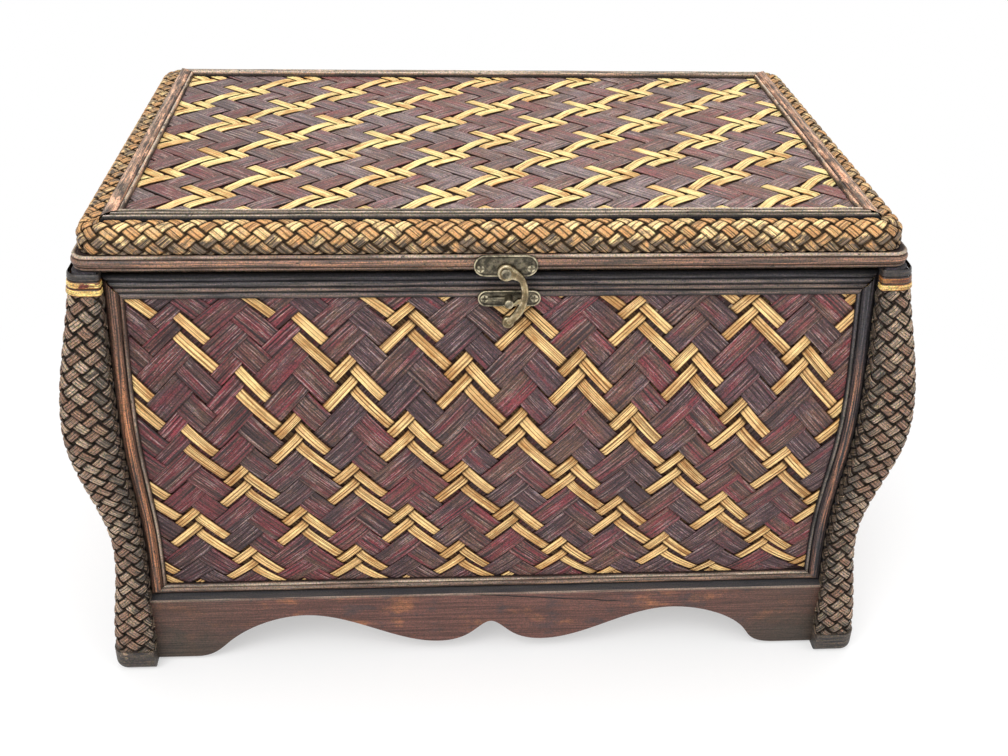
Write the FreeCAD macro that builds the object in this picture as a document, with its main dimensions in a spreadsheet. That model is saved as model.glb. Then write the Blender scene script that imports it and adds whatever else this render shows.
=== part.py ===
import FreeCAD, Part
import os

import Sketcher

# Wicker trunk: S-curved woven walls between four braided corner posts on bound feet, with
# a hinged lid and a swing hook that drops over a peg. Millimetres, +Z up, front towards -Y,
# origin on the ground under the middle of the trunk.

V = FreeCAD.Vector
X_AXIS = V(1, 0, 0)
Y_AXIS = V(0, 1, 0)
Z_AXIS = V(0, 0, 1)
UPRIGHT = FreeCAD.Rotation()
DOWNWARD = FreeCAD.Rotation(X_AXIS, 180)
TO_THE_RIGHT = FreeCAD.Rotation(Z_AXIS, X_AXIS)
TO_THE_BACK = FreeCAD.Rotation(Z_AXIS, Y_AXIS)

doc = FreeCAD.newDocument("wicker_trunk")
sheet = doc.addObject("Spreadsheet::Sheet", "Sizes")

SIZES = [
    # the whole trunk
    ("lid_width", 430.0, "outside width of the lid rail"),
    ("lid_depth", 275.0, "outside depth of the lid rail"),
    ("rim_height", 258.7, "top of the walls above the ground"),
    ("overrun", 2.0, "extra length of every cutting shape"),
    ("fit_gap", 0.3, "gap left between curved or moving neighbours"),
    # the S-curve that posts and walls share
    ("bulge", 13.6, "how far the walls stand out at the belly"),
    ("bulge_height", 169.0, "height of the belly"),
    ("ankle", 1.8, "how far the walls stand out at the ankle"),
    ("ankle_height", 82.0, "height of the ankle"),
    ("flare", 8.0, "how far the posts stand out at the foot"),
    ("rim_slope", 0.13, "lean of the wall at the rim, width over height"),
    # corner posts
    ("post_overhang", 1.3, "post face beyond the lid rail, at the rim"),
    ("post_width", 15.2, "post seen from the front, at the rim"),
    ("post_depth", 17.8, "post seen from the side, at the rim"),
    ("post_rounding", 8.0, "radius of the post's outer edge"),
    ("braid_thickness", 1.7, "thickness of the post's braided sleeve"),
    ("braid_margin", 3.0, "bare strip between the sleeve and the post's inner sides"),
    ("foot_height", 14.0, "height of the bound foot"),
    ("foot_rim", 0.6, "foot cap beyond the post"),
    ("foot_rounding", 4.9, "radius of the foot cap's lower edge"),
    ("band_height", 3.6, "height of one binding band"),
    ("band_gap", 0.2, "gap between binding bands"),
    ("band_rim", 0.5, "binding band beyond the braid"),
    # walls
    ("panel_setback", 12.4, "weave behind the post face"),
    ("weave_thickness", 1.2, "thickness of the woven skins"),
    ("board_thickness", 3.9, "thickness of a wall board"),
    ("stile_thickness", 4.5, "how far the stiles stand out"),
    ("stile_width", 10.0, "width of the stiles"),
    ("rail_relief", 3.2, "how far the wall rails stand out"),
    ("top_rail_height", 13.5, "height of the top rails of the walls"),
    ("top_rail_drop", 4.7, "top rail below the rim"),
    ("bottom_rail_height", 6.0, "height of the bottom rails of the walls"),
    # floor and aprons
    ("floor_height", 41.0, "underside of the floor board above the ground"),
    ("floor_thickness", 6.0, "thickness of the floor board"),
    ("apron_thickness", 8.0, "thickness of an apron"),
    ("apron_setback", 8.3, "apron behind the face of the flared post"),
    ("apron_base", 2.0, "ends of the apron above the ground"),
    ("arch_top", 32.5, "top of the apron's arches above the ground"),
    ("lobe_base", 9.5, "lobes of the apron above the ground"),
    ("notch_top", 24.5, "middle notch of the apron above the ground"),
    # lid
    ("lid_height", 22.0, "lid from its underside to the top weave"),
    ("rail_height", 8.6, "height of the lid rail"),
    ("rail_thickness", 8.7, "thickness of the lid rail"),
    ("rail_corner", 10.0, "corner radius of the lid rail, seen from above"),
    ("rail_rounding", 4.2, "radius of the lid rail's edges"),
    ("frame_width", 18.0, "width of the lid frame's bars"),
    ("lid_board_thickness", 4.0, "thickness of the lid board"),
    ("border_inset_x", 16.0, "ends of the top moulding inside the lid rail"),
    ("border_inset_y", 13.0, "front and back of the top moulding inside the lid rail"),
    ("border_width", 9.5, "width of the top moulding"),
    ("border_height", 3.5, "height of the top moulding"),
    ("border_chamfer", 0.8, "chamfer of the top moulding"),
    ("braid_inset", 3.0, "braided edge roll inside the lid rail"),
    ("braid_rise", 0.8, "braided edge roll above the top weave"),
    ("roll_top_rounding", 8.0, "radius of the edge roll's upper edge"),
    ("roll_base_rounding", 2.5, "radius of the edge roll's lower edge"),
    # hinges
    ("hinge_spacing", 240.0, "distance between the two hinges"),
    ("hinge_length", 30.0, "length of a hinge"),
    ("leaf_thickness", 1.0, "thickness of a hinge leaf"),
    ("knuckle_radius", 2.0, "radius of a hinge knuckle"),
    ("pin_radius", 1.05, "radius of a hinge pin"),
    ("pin_clearance", 0.05, "radial clearance round pins, screws and the rivet"),
    ("pin_standoff", 2.5, "hinge pin behind the lid rail"),
    ("leaf_screw_spacing", 20.0, "distance between the screws of a hinge leaf"),
    # swing hook, its plate on the lid and the catch plate with its peg
    ("latch_offset", 3.4, "pivot and latch plate to the right of the middle"),
    ("latch_width", 33.0, "length of the latch plate and the catch plate"),
    ("latch_height", 12.0, "height of the latch plate"),
    ("latch_lift", 3.6, "middle of the latch plate above the rim"),
    ("latch_screw_drop", 1.5, "screws below the middle of the latch plate"),
    ("catch_height", 9.3, "height of the catch plate"),
    ("catch_shift", 2.5, "catch plate to the right of the latch plate"),
    ("catch_drop", 17.2, "middle of the catch plate below the rim"),
    ("plate_thickness", 1.2, "thickness of both plates"),
    ("plate_screw_spacing", 25.8, "distance between the screws of a plate"),
    ("pivot_drop", 3.1, "pivot below the middle of the latch plate"),
    ("eye_radius", 4.5, "radius of the hook's eye"),
    ("hook_thickness", 2.2, "thickness of the hook"),
    ("bow_radius", 21.3, "outer radius of the hook's bow"),
    ("bow_width", 3.2, "width of the hook's bow"),
    ("bow_middle_left", 9.8, "middle of the bow to the left of the pivot"),
    ("bow_middle_drop", 12.1, "middle of the bow below the pivot"),
    ("bow_end", 1.4, "ends of the bow to the right of the pivot"),
    ("tail_radius", 3.3, "radius of the hook's tail"),
    ("tail_shift", 1.6, "tail to the right of the pivot"),
    ("tail_drop", 28.2, "tail below the pivot"),
    ("barb_root_shift", 7.4, "root of the barb to the right of the pivot"),
    ("barb_root_drop", 17.9, "root of the barb below the pivot"),
    ("barb_tip_shift", 2.2, "tip of the barb to the right of the pivot"),
    ("barb_tip_drop", 22.8, "tip of the barb below the pivot"),
    ("barb_width", 2.6, "width of the barb at its root"),
    ("rivet_radius", 2.0, "radius of the rivet"),
    ("rivet_head_radius", 2.7, "radius of the rivet's head"),
    ("rivet_head_height", 0.8, "height of the rivet's head"),
    ("peg_radius", 2.4, "radius of the catch's peg"),
    ("peg_drop", 17.7, "peg below the pivot"),
    ("peg_shift", 1.9, "peg to the right of the pivot"),
    # screws
    ("plate_screw_head", 2.3, "radius of the heads of the plates' screws"),
    ("leaf_screw_head", 1.7, "radius of the heads of the hinges' screws"),
    ("screw_head_height", 0.9, "height of a screw head"),
    ("screw_shank_radius", 0.9, "radius of a screw's shank"),
    ("screw_length", 3.6, "length of a screw"),
]

# The apron's lower edge from its end to its middle: places as shares of its half length, and
# heights as shares of the step between the two named heights beside them.
APRON_SHARES = [
    (0.885, "apron_base", "arch_top", 0.0),
    (0.78, "apron_base", "arch_top", 0.38),
    (0.545, "apron_base", "arch_top", 1.0),
    (0.335, "lobe_base", "arch_top", 0.44),
    (0.165, "lobe_base", "notch_top", 0.0),
    (0.06, "lobe_base", "notch_top", 0.42),
    (0.0, "lobe_base", "notch_top", 1.0),
]


def add_size(alias, number, note):
    """A row of the sheet: what it is, and the number under its alias."""
    add_size.row += 1
    sheet.set("A%d" % add_size.row, note)
    sheet.set("B%d" % add_size.row, str(number))
    sheet.setAlias("B%d" % add_size.row, alias)


add_size.row = 0
for alias, number, note in SIZES:
    add_size(alias, number, note)
doc.recompute()


def size(expression):
    """The value in millimetres of an alias of the sheet or of an expression of aliases."""
    return float(sheet.evalExpression(expression))


# Places that several sub-parts share, as expressions of the sheet's sizes.
HALF_WIDTH = "(Sizes.lid_width / 2)"
HALF_DEPTH = "(Sizes.lid_depth / 2)"
POST_FACE_X = f"({HALF_WIDTH} + Sizes.post_overhang)"
POST_FACE_Y = f"({HALF_DEPTH} + Sizes.post_overhang)"
POST_INNER_X = f"({POST_FACE_X} - Sizes.post_width)"
POST_INNER_Y = f"({POST_FACE_Y} - Sizes.post_depth)"
FLOOR_TOP = "(Sizes.floor_height + Sizes.floor_thickness)"
TOP_RAIL_TOP = "(Sizes.rim_height - Sizes.top_rail_drop)"
TOP_RAIL_BASE = f"({TOP_RAIL_TOP} - Sizes.top_rail_height)"
BOTTOM_RAIL_BASE = f"({FLOOR_TOP} + Sizes.fit_gap)"
BOARD_SETBACK = "(Sizes.panel_setback + Sizes.weave_thickness + Sizes.fit_gap)"
LID_BASE = "(Sizes.rim_height + Sizes.fit_gap)"
RAIL_TOP = f"({LID_BASE} + Sizes.rail_height)"
LID_TOP = f"({LID_BASE} + Sizes.lid_height)"
PIN_Y = f"({HALF_DEPTH} + Sizes.pin_standoff)"
PIN_Z = "(Sizes.rim_height + Sizes.fit_gap / 2)"
LEAF_END_Y = f"({POST_FACE_Y} - {BOARD_SETBACK} - Sizes.board_thickness)"
LEAF_SCREW_Y = f"({LEAF_END_Y} + Sizes.board_thickness / 2)"
LATCH_BACK = f"({HALF_DEPTH} + Sizes.fit_gap)"
LATCH_FRONT = f"({LATCH_BACK} + Sizes.plate_thickness)"
LATCH_Z = "(Sizes.rim_height + Sizes.latch_lift)"
HOOK_BACK = f"({LATCH_FRONT} + Sizes.fit_gap)"
HOOK_FRONT = f"({HOOK_BACK} + Sizes.hook_thickness)"
PIVOT_X = "Sizes.latch_offset"
PIVOT_Z = f"({LATCH_Z} - Sizes.pivot_drop)"
CATCH_X = "(Sizes.latch_offset + Sizes.catch_shift)"
CATCH_Z = "(Sizes.rim_height - Sizes.catch_drop)"
CATCH_BACK = f"({POST_FACE_Y} - Sizes.panel_setback + Sizes.rail_relief + Sizes.catch_bow + 2 * Sizes.fit_gap)"
CATCH_FRONT = f"({CATCH_BACK} + Sizes.plate_thickness)"

fit_gap = size("fit_gap")
overrun = size("overrun")
rim = size("rim_height")

# The four walls: name, turn about Z, post face, half length, names of the left and right ends.
WALLS = [
    ("front", 0, size(POST_FACE_Y), size(POST_INNER_X), "left", "right"),
    ("right", 90, size(POST_FACE_X), size(POST_INNER_Y), "front", "back"),
    ("back", 180, size(POST_FACE_Y), size(POST_INNER_X), "right", "left"),
    ("left", 270, size(POST_FACE_X), size(POST_INNER_Y), "back", "front"),
]

# The four corners: name, and the directions of X and Y in which each lies.
CORNERS = [
    ("front_left", -1, -1),
    ("front_right", 1, -1),
    ("back_left", -1, 1),
    ("back_right", 1, 1),
]


# The S-curve

def curve_knots():
    """Heights of the S-curve with the outward offset and the slope there."""
    return [
        (0.0, size("flare"), 0.0),
        (size("foot_height"), size("flare"), 0.0),
        (size("ankle_height"), size("ankle"), 0.0),
        (size("bulge_height"), size("bulge"), 0.0),
        (rim, 0.0, -size("rim_slope")),
    ]


def curve_at(height):
    """Outward offset and slope of the S-curve at a height: a cubic between each two knots."""
    knots = curve_knots()
    for (z0, o0, m0), (z1, o1, m1) in zip(knots[:-1], knots[1:]):
        if height > z1:
            continue
        span = z1 - z0
        share = (height - z0) / span
        rest = 1 - share
        offset = o0 + (o1 - o0) * share * share * (3 - 2 * share)
        offset += span * share * rest * (m0 * rest - m1 * share)
        slope = (o1 - o0) / span * 6 * share * rest
        slope += m0 * rest * (1 - 3 * share) + m1 * share * (3 * share - 2)
        return offset, slope
    return knots[-1][1], knots[-1][2]


def curve_edges(face, low, high, place):
    """The S-curve at a distance from the middle, as edges that go upwards."""
    inner = [z for z, _, _ in curve_knots() if low < z < high]
    levels = [low] + inner + [high]
    edges = []
    for z0, z1 in zip(levels[:-1], levels[1:]):
        third = (z1 - z0) / 3
        o0, m0 = curve_at(z0)
        o1, m1 = curve_at(z1)
        bezier = Part.BezierCurve()
        bezier.setPoles([
            place(face + o0, z0),
            place(face + o0 + m0 * third, z0 + third),
            place(face + o1 - m1 * third, z1 - third),
            place(face + o1, z1),
        ])
        edges.append(bezier.toShape())
    return edges


def front_point(distance, height):
    """A point in front of the middle plane."""
    return V(0, -distance, height)


def right_point(distance, height):
    """A point to the right of the middle plane."""
    return V(distance, 0, height)


def face_between(outer_edges, inner_edges):
    """A flat face between two runs of edges that both go upwards."""
    top = Part.makeLine(outer_edges[-1].Vertexes[-1].Point, inner_edges[-1].Vertexes[-1].Point)
    base = Part.makeLine(outer_edges[0].Vertexes[0].Point, inner_edges[0].Vertexes[0].Point)
    return Part.Face(Part.Wire(Part.__sortEdges__(outer_edges + [top] + inner_edges + [base])))


def curved_slab(face, thickness, half_length, low, high):
    """A slab of even thickness that follows the S-curve, in front of the middle plane."""
    outer = curve_edges(face, low, high, front_point)
    inner = curve_edges(face - thickness, low, high, front_point)
    section = face_between(outer, inner).translated(X_AXIS * -half_length)
    return section.extrude(X_AXIS * (2 * half_length))


def add_shape(label, shape, turn=0.0):
    """A sub-part whose shape follows the S-curve, turned about Z into its place."""
    part = doc.addObject("Part::Feature", label)
    part.Label = label
    part.Shape = shape
    part.Placement = FreeCAD.Placement(V(0, 0, 0), FreeCAD.Rotation(Z_AXIS, turn)) * shape.Placement
    return part


# Sketches, pads and primitives

def new_body(label):
    """An empty body with its label."""
    body = doc.addObject("PartDesign::Body", label)
    body.Label = label
    return body


def new_sketch(body, name, role, level):
    """A sketch on one of its body's origin planes, moved along the plane's normal."""
    sketch = body.newObject("Sketcher::SketchObject", name)
    plane = [item for item in body.Origin.OriginFeatures if item.Role == role][0]
    sketch.AttachmentSupport = [(plane, "")]
    sketch.MapMode = "FlatFace"
    sketch.setExpression("AttachmentOffset.Base.z", level)
    return sketch


def bind(sketch, name, constraint, expression):
    """Adds a constraint and binds it to an expression."""
    index = sketch.addConstraint(constraint)
    sketch.renameConstraint(index, name)
    sketch.setExpression("Constraints." + name, expression)


def bind_point(sketch, element, end, name, place):
    """Holds a point of a sketch's element at a place given by two expressions."""
    for axis, expression in zip("XY", place):
        value = size(expression)
        kind = "Distance" + axis
        if value < 0:
            constraint = Sketcher.Constraint(kind, element, end, -1, 1, -value)
            bind(sketch, name + axis, constraint, f"-({expression})")
        else:
            constraint = Sketcher.Constraint(kind, -1, 1, element, end, value)
            bind(sketch, name + axis, constraint, expression)


def draw_outline(sketch, places):
    """A closed outline of straight lines through places given as pairs of expressions."""
    points = [V(size(x), size(y), 0) for x, y in places]
    count = len(points)
    for index in range(count):
        line = Part.LineSegment(points[index], points[(index + 1) % count])
        sketch.addGeometry(line, False)
    for index in range(count):
        sketch.addConstraint(Sketcher.Constraint("Coincident", index, 2, (index + 1) % count, 1))
    for index, place in enumerate(places):
        bind_point(sketch, index, 1, "corner%d" % index, place)


def draw_rectangle(sketch, half_width, half_depth):
    """A rectangle round the sketch's origin."""
    left, near = f"-({half_width})", f"-({half_depth})"
    draw_outline(sketch, [(left, near), (half_width, near), (half_width, half_depth), (left, half_depth)])


def draw_circle(sketch, place, radius, name="ring"):
    """A circle at a place given by two expressions."""
    centre = V(size(place[0]), size(place[1]), 0)
    index = sketch.addGeometry(Part.Circle(centre, Z_AXIS, size(radius)), False)
    bind_point(sketch, index, 3, name, place)
    bind(sketch, name + "Radius", Sketcher.Constraint("Radius", index, size(radius)), radius)


def pad(body, sketch, length):
    """A pad along the sketch's normal."""
    feature = body.newObject("PartDesign::Pad", sketch.Name + "_pad")
    feature.Profile = sketch
    feature.setExpression("Length", length)
    doc.recompute()
    body.Tip = feature
    return feature


def pocket(body, sketch, depth):
    """A pocket along the sketch's normal, which has to take something away."""
    before = body.Shape.Volume
    feature = body.newObject("PartDesign::Pocket", sketch.Name + "_pocket")
    feature.Profile = sketch
    feature.Reversed = True
    feature.setExpression("Length", depth)
    doc.recompute()
    body.Tip = feature
    if body.Shape.Volume > before - fit_gap:
        raise RuntimeError(sketch.Name + " takes nothing away")
    return feature


def dress(body, kind, prop, base, name, keep, amount):
    """A fillet or chamfer on the edges of a feature that a test keeps."""
    names = ["Edge%d" % (index + 1) for index, edge in enumerate(base.Shape.Edges) if keep(edge)]
    feature = body.newObject("PartDesign::" + kind, name)
    feature.Base = (base, names)
    feature.setExpression(prop, amount)
    doc.recompute()
    body.Tip = feature
    return feature


def is_upright(edge):
    """Whether an edge runs along Z."""
    box = edge.BoundBox
    return box.ZLength > fit_gap and box.XLength + box.YLength < fit_gap


def at_level(level):
    """A test for the edges that lie at one height."""
    def keep(edge):
        box = edge.BoundBox
        return abs(box.ZMin - level) + abs(box.ZMax - level) < fit_gap
    return keep


def primitive(kind, name, place, turn=UPRIGHT, **bindings):
    """A Part primitive whose place and sizes are bound to expressions."""
    item = doc.addObject("Part::" + kind, name)
    item.Placement = FreeCAD.Placement(V(0, 0, 0), turn)
    for axis, expression in zip("xyz", place):
        item.setExpression("Placement.Base." + axis, expression)
    for prop, expression in bindings.items():
        item.setExpression(prop, expression)
    return item


def box_at(name, low, spans):
    """A box from its lowest corner, with its three lengths."""
    return primitive("Box", name, low, Length=spans[0], Width=spans[1], Height=spans[2])


def fused(name, items):
    """Several objects joined into one."""
    joined = doc.addObject("Part::MultiFuse", name)
    joined.Shapes = items
    return joined


def cut_away(label, base, tools):
    """A sub-part: a base without its tools."""
    base.Label = label + "_blank"
    part = doc.addObject("Part::Cut", label + "_cut")
    part.Base = base
    part.Tool = fused(label + "_tools", tools) if len(tools) > 1 else tools[0]
    part.Label = label
    return part


def grouped(label, items):
    """A sub-part of several like pieces that stay separate solids."""
    group = doc.addObject("Part::Compound", label)
    group.Links = items
    group.Label = label
    return group


# Walls

def make_boards():
    """The four S-curved wall boards; the back one is let in for the hinge leaves and screws."""
    thickness = size("board_thickness")
    for name, turn, post_face, half_length, _, _ in WALLS:
        face = post_face - size(BOARD_SETBACK)
        board = curved_slab(face, thickness, half_length, size(FLOOR_TOP), rim)
        if name == "back":
            for tool in leaf_recesses("board") + screw_holes("board", LEAF_PLACES, "Sizes.rim_height", DOWNWARD):
                doc.recompute()
                board = board.cut(tool.Shape.rotated(V(0, 0, 0), Z_AXIS, -turn))
        add_shape(name + "_board", board, turn)


def make_weaves():
    """The woven skins of the four walls."""
    for name, turn, post_face, half_length, _, _ in WALLS:
        face = post_face - size("panel_setback")
        length = half_length - fit_gap
        skin = curved_slab(face, size("weave_thickness"), length, size(BOTTOM_RAIL_BASE), size(TOP_RAIL_TOP))
        add_shape(name + "_weave", skin, turn)


def make_wall_frames():
    """The mitred frame round each wall's weave: a top rail, a bottom rail and two stiles."""
    low, high = size(BOTTOM_RAIL_BASE), size(TOP_RAIL_TOP)
    low_inner = low + size("bottom_rail_height")
    high_inner = size(TOP_RAIL_BASE)
    for name, turn, post_face, half_length, left, right in WALLS:
        weave_face = post_face - size("panel_setback") + fit_gap
        end, inner = half_length, half_length - size("stile_width")
        pieces = [
            ("top_rail", "rail_relief", [(-end, high), (end, high), (inner, high_inner), (-inner, high_inner)]),
            ("bottom_rail", "rail_relief", [(-end, low), (-inner, low_inner), (inner, low_inner), (end, low)]),
            (left + "_stile", "stile_thickness", [(-end, low), (-end, high), (-inner, high_inner), (-inner, low_inner)]),
            (right + "_stile", "stile_thickness", [(end, low), (inner, low_inner), (inner, high_inner), (end, high)]),
        ]
        for label, relief, outline in pieces:
            thickness = size(relief)
            slab = curved_slab(weave_face + thickness, thickness, half_length, low, high)
            reach = post_face + size("bulge") + overrun
            points = [V(x, -reach, z) for x, z in outline]
            piece = slab.common(Part.Face(Part.makePolygon(points + points[:1])).extrude(Y_AXIS * reach))
            if name == "front" and label == "top_rail":
                for hole in screw_holes("catch_seat", CATCH_SCREWS, f"-{CATCH_FRONT}", TO_THE_BACK):
                    doc.recompute()
                    piece = piece.cut(hole.Shape)
            add_shape(name + "_" + label, piece, turn)


# Corner posts

def post_block(inner_margin, outset, low, high):
    """A stretch of the front right post: flat inner sides, S-curved outer sides, one rounded edge."""
    inner_x, inner_y = size(POST_INNER_X) + inner_margin, size(POST_INNER_Y) + inner_margin
    face_x, face_y = size(POST_FACE_X) + outset, size(POST_FACE_Y) + outset
    sides = []
    for inner, face, place in ((inner_x, face_x, right_point), (inner_y, face_y, front_point)):
        upright = Part.makeLine(place(inner, low), place(inner, high))
        sides.append(face_between(curve_edges(face, low, high, place), [upright]))
    reach = max(face_x, face_y) + size("bulge") + overrun
    block = sides[0].extrude(-Y_AXIS * reach).common(sides[1].extrude(X_AXIS * reach))
    outer_edge = []
    for edge in block.Edges:
        middle = edge.valueAt((edge.FirstParameter + edge.LastParameter) / 2)
        bow = curve_at(middle.z)[0]
        if abs(middle.x - face_x - bow) + abs(middle.y + face_y + bow) < fit_gap:
            outer_edge.append(edge)
    return block.makeFillet(size("post_rounding") + outset, outer_edge)


def wrapping(inner_margin, outset, low, high):
    """A skin over the two outer sides of the front right post."""
    core = post_block(0.0, -size("braid_thickness"), low, high)
    return post_block(inner_margin, outset, low, high).cut(core)


def add_at_corners(label, shape):
    """A sub-part at each corner, from the shape of the front right one."""
    for name, side_x, side_y in CORNERS:
        add_shape(name + "_" + label, mirrored(shape, side_x, side_y))


def mirrored(shape, side_x, side_y):
    """The front right corner's shape, mirrored into another corner."""
    if side_x < 0:
        shape = shape.mirror(V(0, 0, 0), X_AXIS)
    if side_y > 0:
        shape = shape.mirror(V(0, 0, 0), Y_AXIS)
    return shape


def make_posts():
    """Post cores, their braided sleeves and the bindings at the top."""
    low = size("foot_height")
    step = size("band_height") + size("band_gap")
    levels = [rim - size("band_height") - step * count for count in (2, 1, 0)]
    add_at_corners("post", post_block(0.0, -size("braid_thickness") - fit_gap, low, rim))
    add_at_corners("post_braid", wrapping(size("braid_margin"), 0.0, low, levels[0] - size("band_gap")))
    bands = [wrapping(0.0, size("band_rim"), level, level + size("band_height")) for level in levels]
    rings = [mirrored(band, side_x, side_y) for _, side_x, side_y in CORNERS for band in bands]
    add_shape("post_bindings", Part.makeCompound(rings))


def make_feet():
    """The bound feet under the posts, rounded where they meet the ground."""
    outer_x = f"({POST_FACE_X} + Sizes.flare + Sizes.foot_rim)"
    outer_y = f"({POST_FACE_Y} + Sizes.flare + Sizes.foot_rim)"
    for name, side_x, side_y in CORNERS:
        xs = [POST_INNER_X, outer_x] if side_x > 0 else [f"-{outer_x}", f"-{POST_INNER_X}"]
        ys = [POST_INNER_Y, outer_y] if side_y > 0 else [f"-{outer_y}", f"-{POST_INNER_Y}"]
        body = new_body(name + "_foot_cap")
        outline = new_sketch(body, name + "_foot", "XY_Plane", "0 * Sizes.foot_height")
        draw_outline(outline, [(xs[0], ys[0]), (xs[1], ys[0]), (xs[1], ys[1]), (xs[0], ys[1])])
        block = pad(body, outline, "Sizes.foot_height")

        def outside(edge):
            box = edge.BoundBox
            return max(abs(box.XMin), abs(box.XMax)) > size(outer_x) - fit_gap and is_upright(edge) \
                and max(abs(box.YMin), abs(box.YMax)) > size(outer_y) - fit_gap

        block = dress(body, "Fillet", "Radius", block, name + "_foot_side", outside, "Sizes.post_rounding")

        def underneath(edge):
            middle = edge.valueAt((edge.FirstParameter + edge.LastParameter) / 2)
            beyond_x = abs(middle.x) > size(POST_INNER_X) + fit_gap
            beyond_y = abs(middle.y) > size(POST_INNER_Y) + fit_gap
            return at_level(0.0)(edge) and beyond_x and beyond_y

        dress(body, "Fillet", "Radius", block, name + "_foot_base", underneath, "Sizes.foot_rounding")


# Floor and aprons

def make_floor():
    """The floor board, notched round the posts."""
    half_x = f"({POST_FACE_X} + Sizes.flare - Sizes.apron_setback - Sizes.apron_thickness)"
    half_y = f"({POST_FACE_Y} + Sizes.flare - Sizes.apron_setback - Sizes.apron_thickness)"
    low = (f"-{half_x}", f"-{half_y}", "Sizes.floor_height")
    board = box_at("floor", low, (f"2 * {half_x}", f"2 * {half_y}", "Sizes.floor_thickness"))
    notches = []
    for name, side_x, side_y in CORNERS:
        low_x = POST_INNER_X if side_x > 0 else f"-{POST_INNER_X} - Sizes.post_width"
        low_y = POST_INNER_Y if side_y > 0 else f"-{POST_INNER_Y} - Sizes.post_depth"
        spans = ("Sizes.post_width", "Sizes.post_depth", f"{FLOOR_TOP} + Sizes.overrun")
        notches.append(box_at("floor_notch_" + name, (low_x, low_y, "0 * Sizes.overrun"), spans))
    cut_away("floor_board", board, notches)


def apron_face(half_length):
    """The outline of an apron: straight top and ends, a scalloped lower edge."""
    base, top = size("apron_base"), size(FLOOR_TOP)
    half_edge = []
    for place_share, low, high, height_share in APRON_SHARES:
        height = size(low) + (size(high) - size(low)) * height_share
        half_edge.append((place_share * half_length, height))
    points = [V(-x, 0, z) for x, z in half_edge] + [V(x, 0, z) for x, z in reversed(half_edge[:-1])]
    scallops = Part.BSplineCurve()
    scallops.interpolate(Points=points, InitialTangent=X_AXIS, FinalTangent=X_AXIS)
    ends = [V(half_length, 0, base), V(half_length, 0, top), V(-half_length, 0, top), V(-half_length, 0, base)]
    rest = Part.makePolygon([points[-1]] + ends + [points[0]])
    return Part.Face(Part.Wire([scallops.toShape()] + rest.Edges))


def make_aprons():
    """The four scalloped boards between the feet."""
    for name, turn, post_face, half_length, _, _ in WALLS:
        face = post_face + size("flare") - size("apron_setback")
        outline = apron_face(half_length).translated(-Y_AXIS * face)
        add_shape(name + "_apron", outline.extrude(Y_AXIS * size("apron_thickness")), turn)


# Lid

def make_lid_frame():
    """The lid's wooden frame: a wider foot behind the rail, a narrower upper part, open inside."""
    body = new_body("lid_frame")
    foot_inset = "Sizes.rail_thickness - Sizes.fit_gap"
    bar_inset = f"{foot_inset} - Sizes.frame_width"
    foot = new_sketch(body, "frame_foot", "XY_Plane", LID_BASE)
    draw_rectangle(foot, f"{HALF_WIDTH} - {foot_inset}", f"{HALF_DEPTH} - {foot_inset}")
    pad(body, foot, "Sizes.rail_height")
    upper = new_sketch(body, "frame_upper", "XY_Plane", LID_BASE)
    draw_rectangle(upper, f"{HALF_WIDTH} - Sizes.border_inset_x", f"{HALF_DEPTH} - Sizes.border_inset_y")
    pad(body, upper, "Sizes.lid_height - Sizes.lid_board_thickness - Sizes.weave_thickness")
    inside = new_sketch(body, "frame_inside", "XY_Plane", LID_BASE)
    draw_rectangle(inside, f"{HALF_WIDTH} - {bar_inset}", f"{HALF_DEPTH} - {bar_inset}")
    pocket(body, inside, "Sizes.lid_height")
    holes = screw_holes("frame", LEAF_PLACES, LID_BASE, UPRIGHT)
    cut_away("lid_frame", body, leaf_recesses("frame") + holes)


def make_lid_panels():
    """The lid board and the woven panel on it."""
    weave_level = f"{LID_TOP} - Sizes.weave_thickness"
    layers = [
        ("lid_board", f"{weave_level} - Sizes.lid_board_thickness", "Sizes.lid_board_thickness"),
        ("lid_weave", weave_level, "Sizes.weave_thickness"),
    ]
    for label, level, thickness in layers:
        body = new_body(label)
        outline = new_sketch(body, label + "_outline", "XY_Plane", level)
        draw_rectangle(outline, f"{HALF_WIDTH} - Sizes.border_inset_x", f"{HALF_DEPTH} - Sizes.border_inset_y")
        pad(body, outline, thickness)


def make_hoop(label, inset, level, height, inner_x, inner_y, top_rounding, base_rounding):
    """A hoop round the lid with rounded corners and rounded outer edges."""
    body = new_body(label)
    outline = new_sketch(body, label + "_outline", "XY_Plane", level)
    draw_rectangle(outline, f"{HALF_WIDTH} - {inset}", f"{HALF_DEPTH} - {inset}")
    solid = pad(body, outline, height)
    solid = dress(body, "Fillet", "Radius", solid, label + "_corners", is_upright, "Sizes.rail_corner")
    top, base = size(f"{level} + {height}"), size(level)
    solid = dress(body, "Fillet", "Radius", solid, label + "_upper_edge", at_level(top), top_rounding)
    dress(body, "Fillet", "Radius", solid, label + "_lower_edge", at_level(base), base_rounding)
    inside = new_sketch(body, label + "_inside", "XY_Plane", level)
    draw_rectangle(inside, f"{HALF_WIDTH} - {inner_x}", f"{HALF_DEPTH} - {inner_y}")
    pocket(body, inside, height)
    return body


def make_lid_rail():
    """The half-round rail round the foot of the lid, let in for the hinges and bored for the latch."""
    body = make_hoop("lid_rail", "0 * Sizes.rail_thickness", LID_BASE, "Sizes.rail_height", "Sizes.rail_thickness",
                     "Sizes.rail_thickness", "Sizes.rail_rounding", "Sizes.rail_rounding")
    holes = screw_holes("rail", LATCH_SCREWS, f"-{LATCH_FRONT}", TO_THE_BACK)
    cut_away("lid_rail", body, leaf_recesses("rail") + holes)


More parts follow.
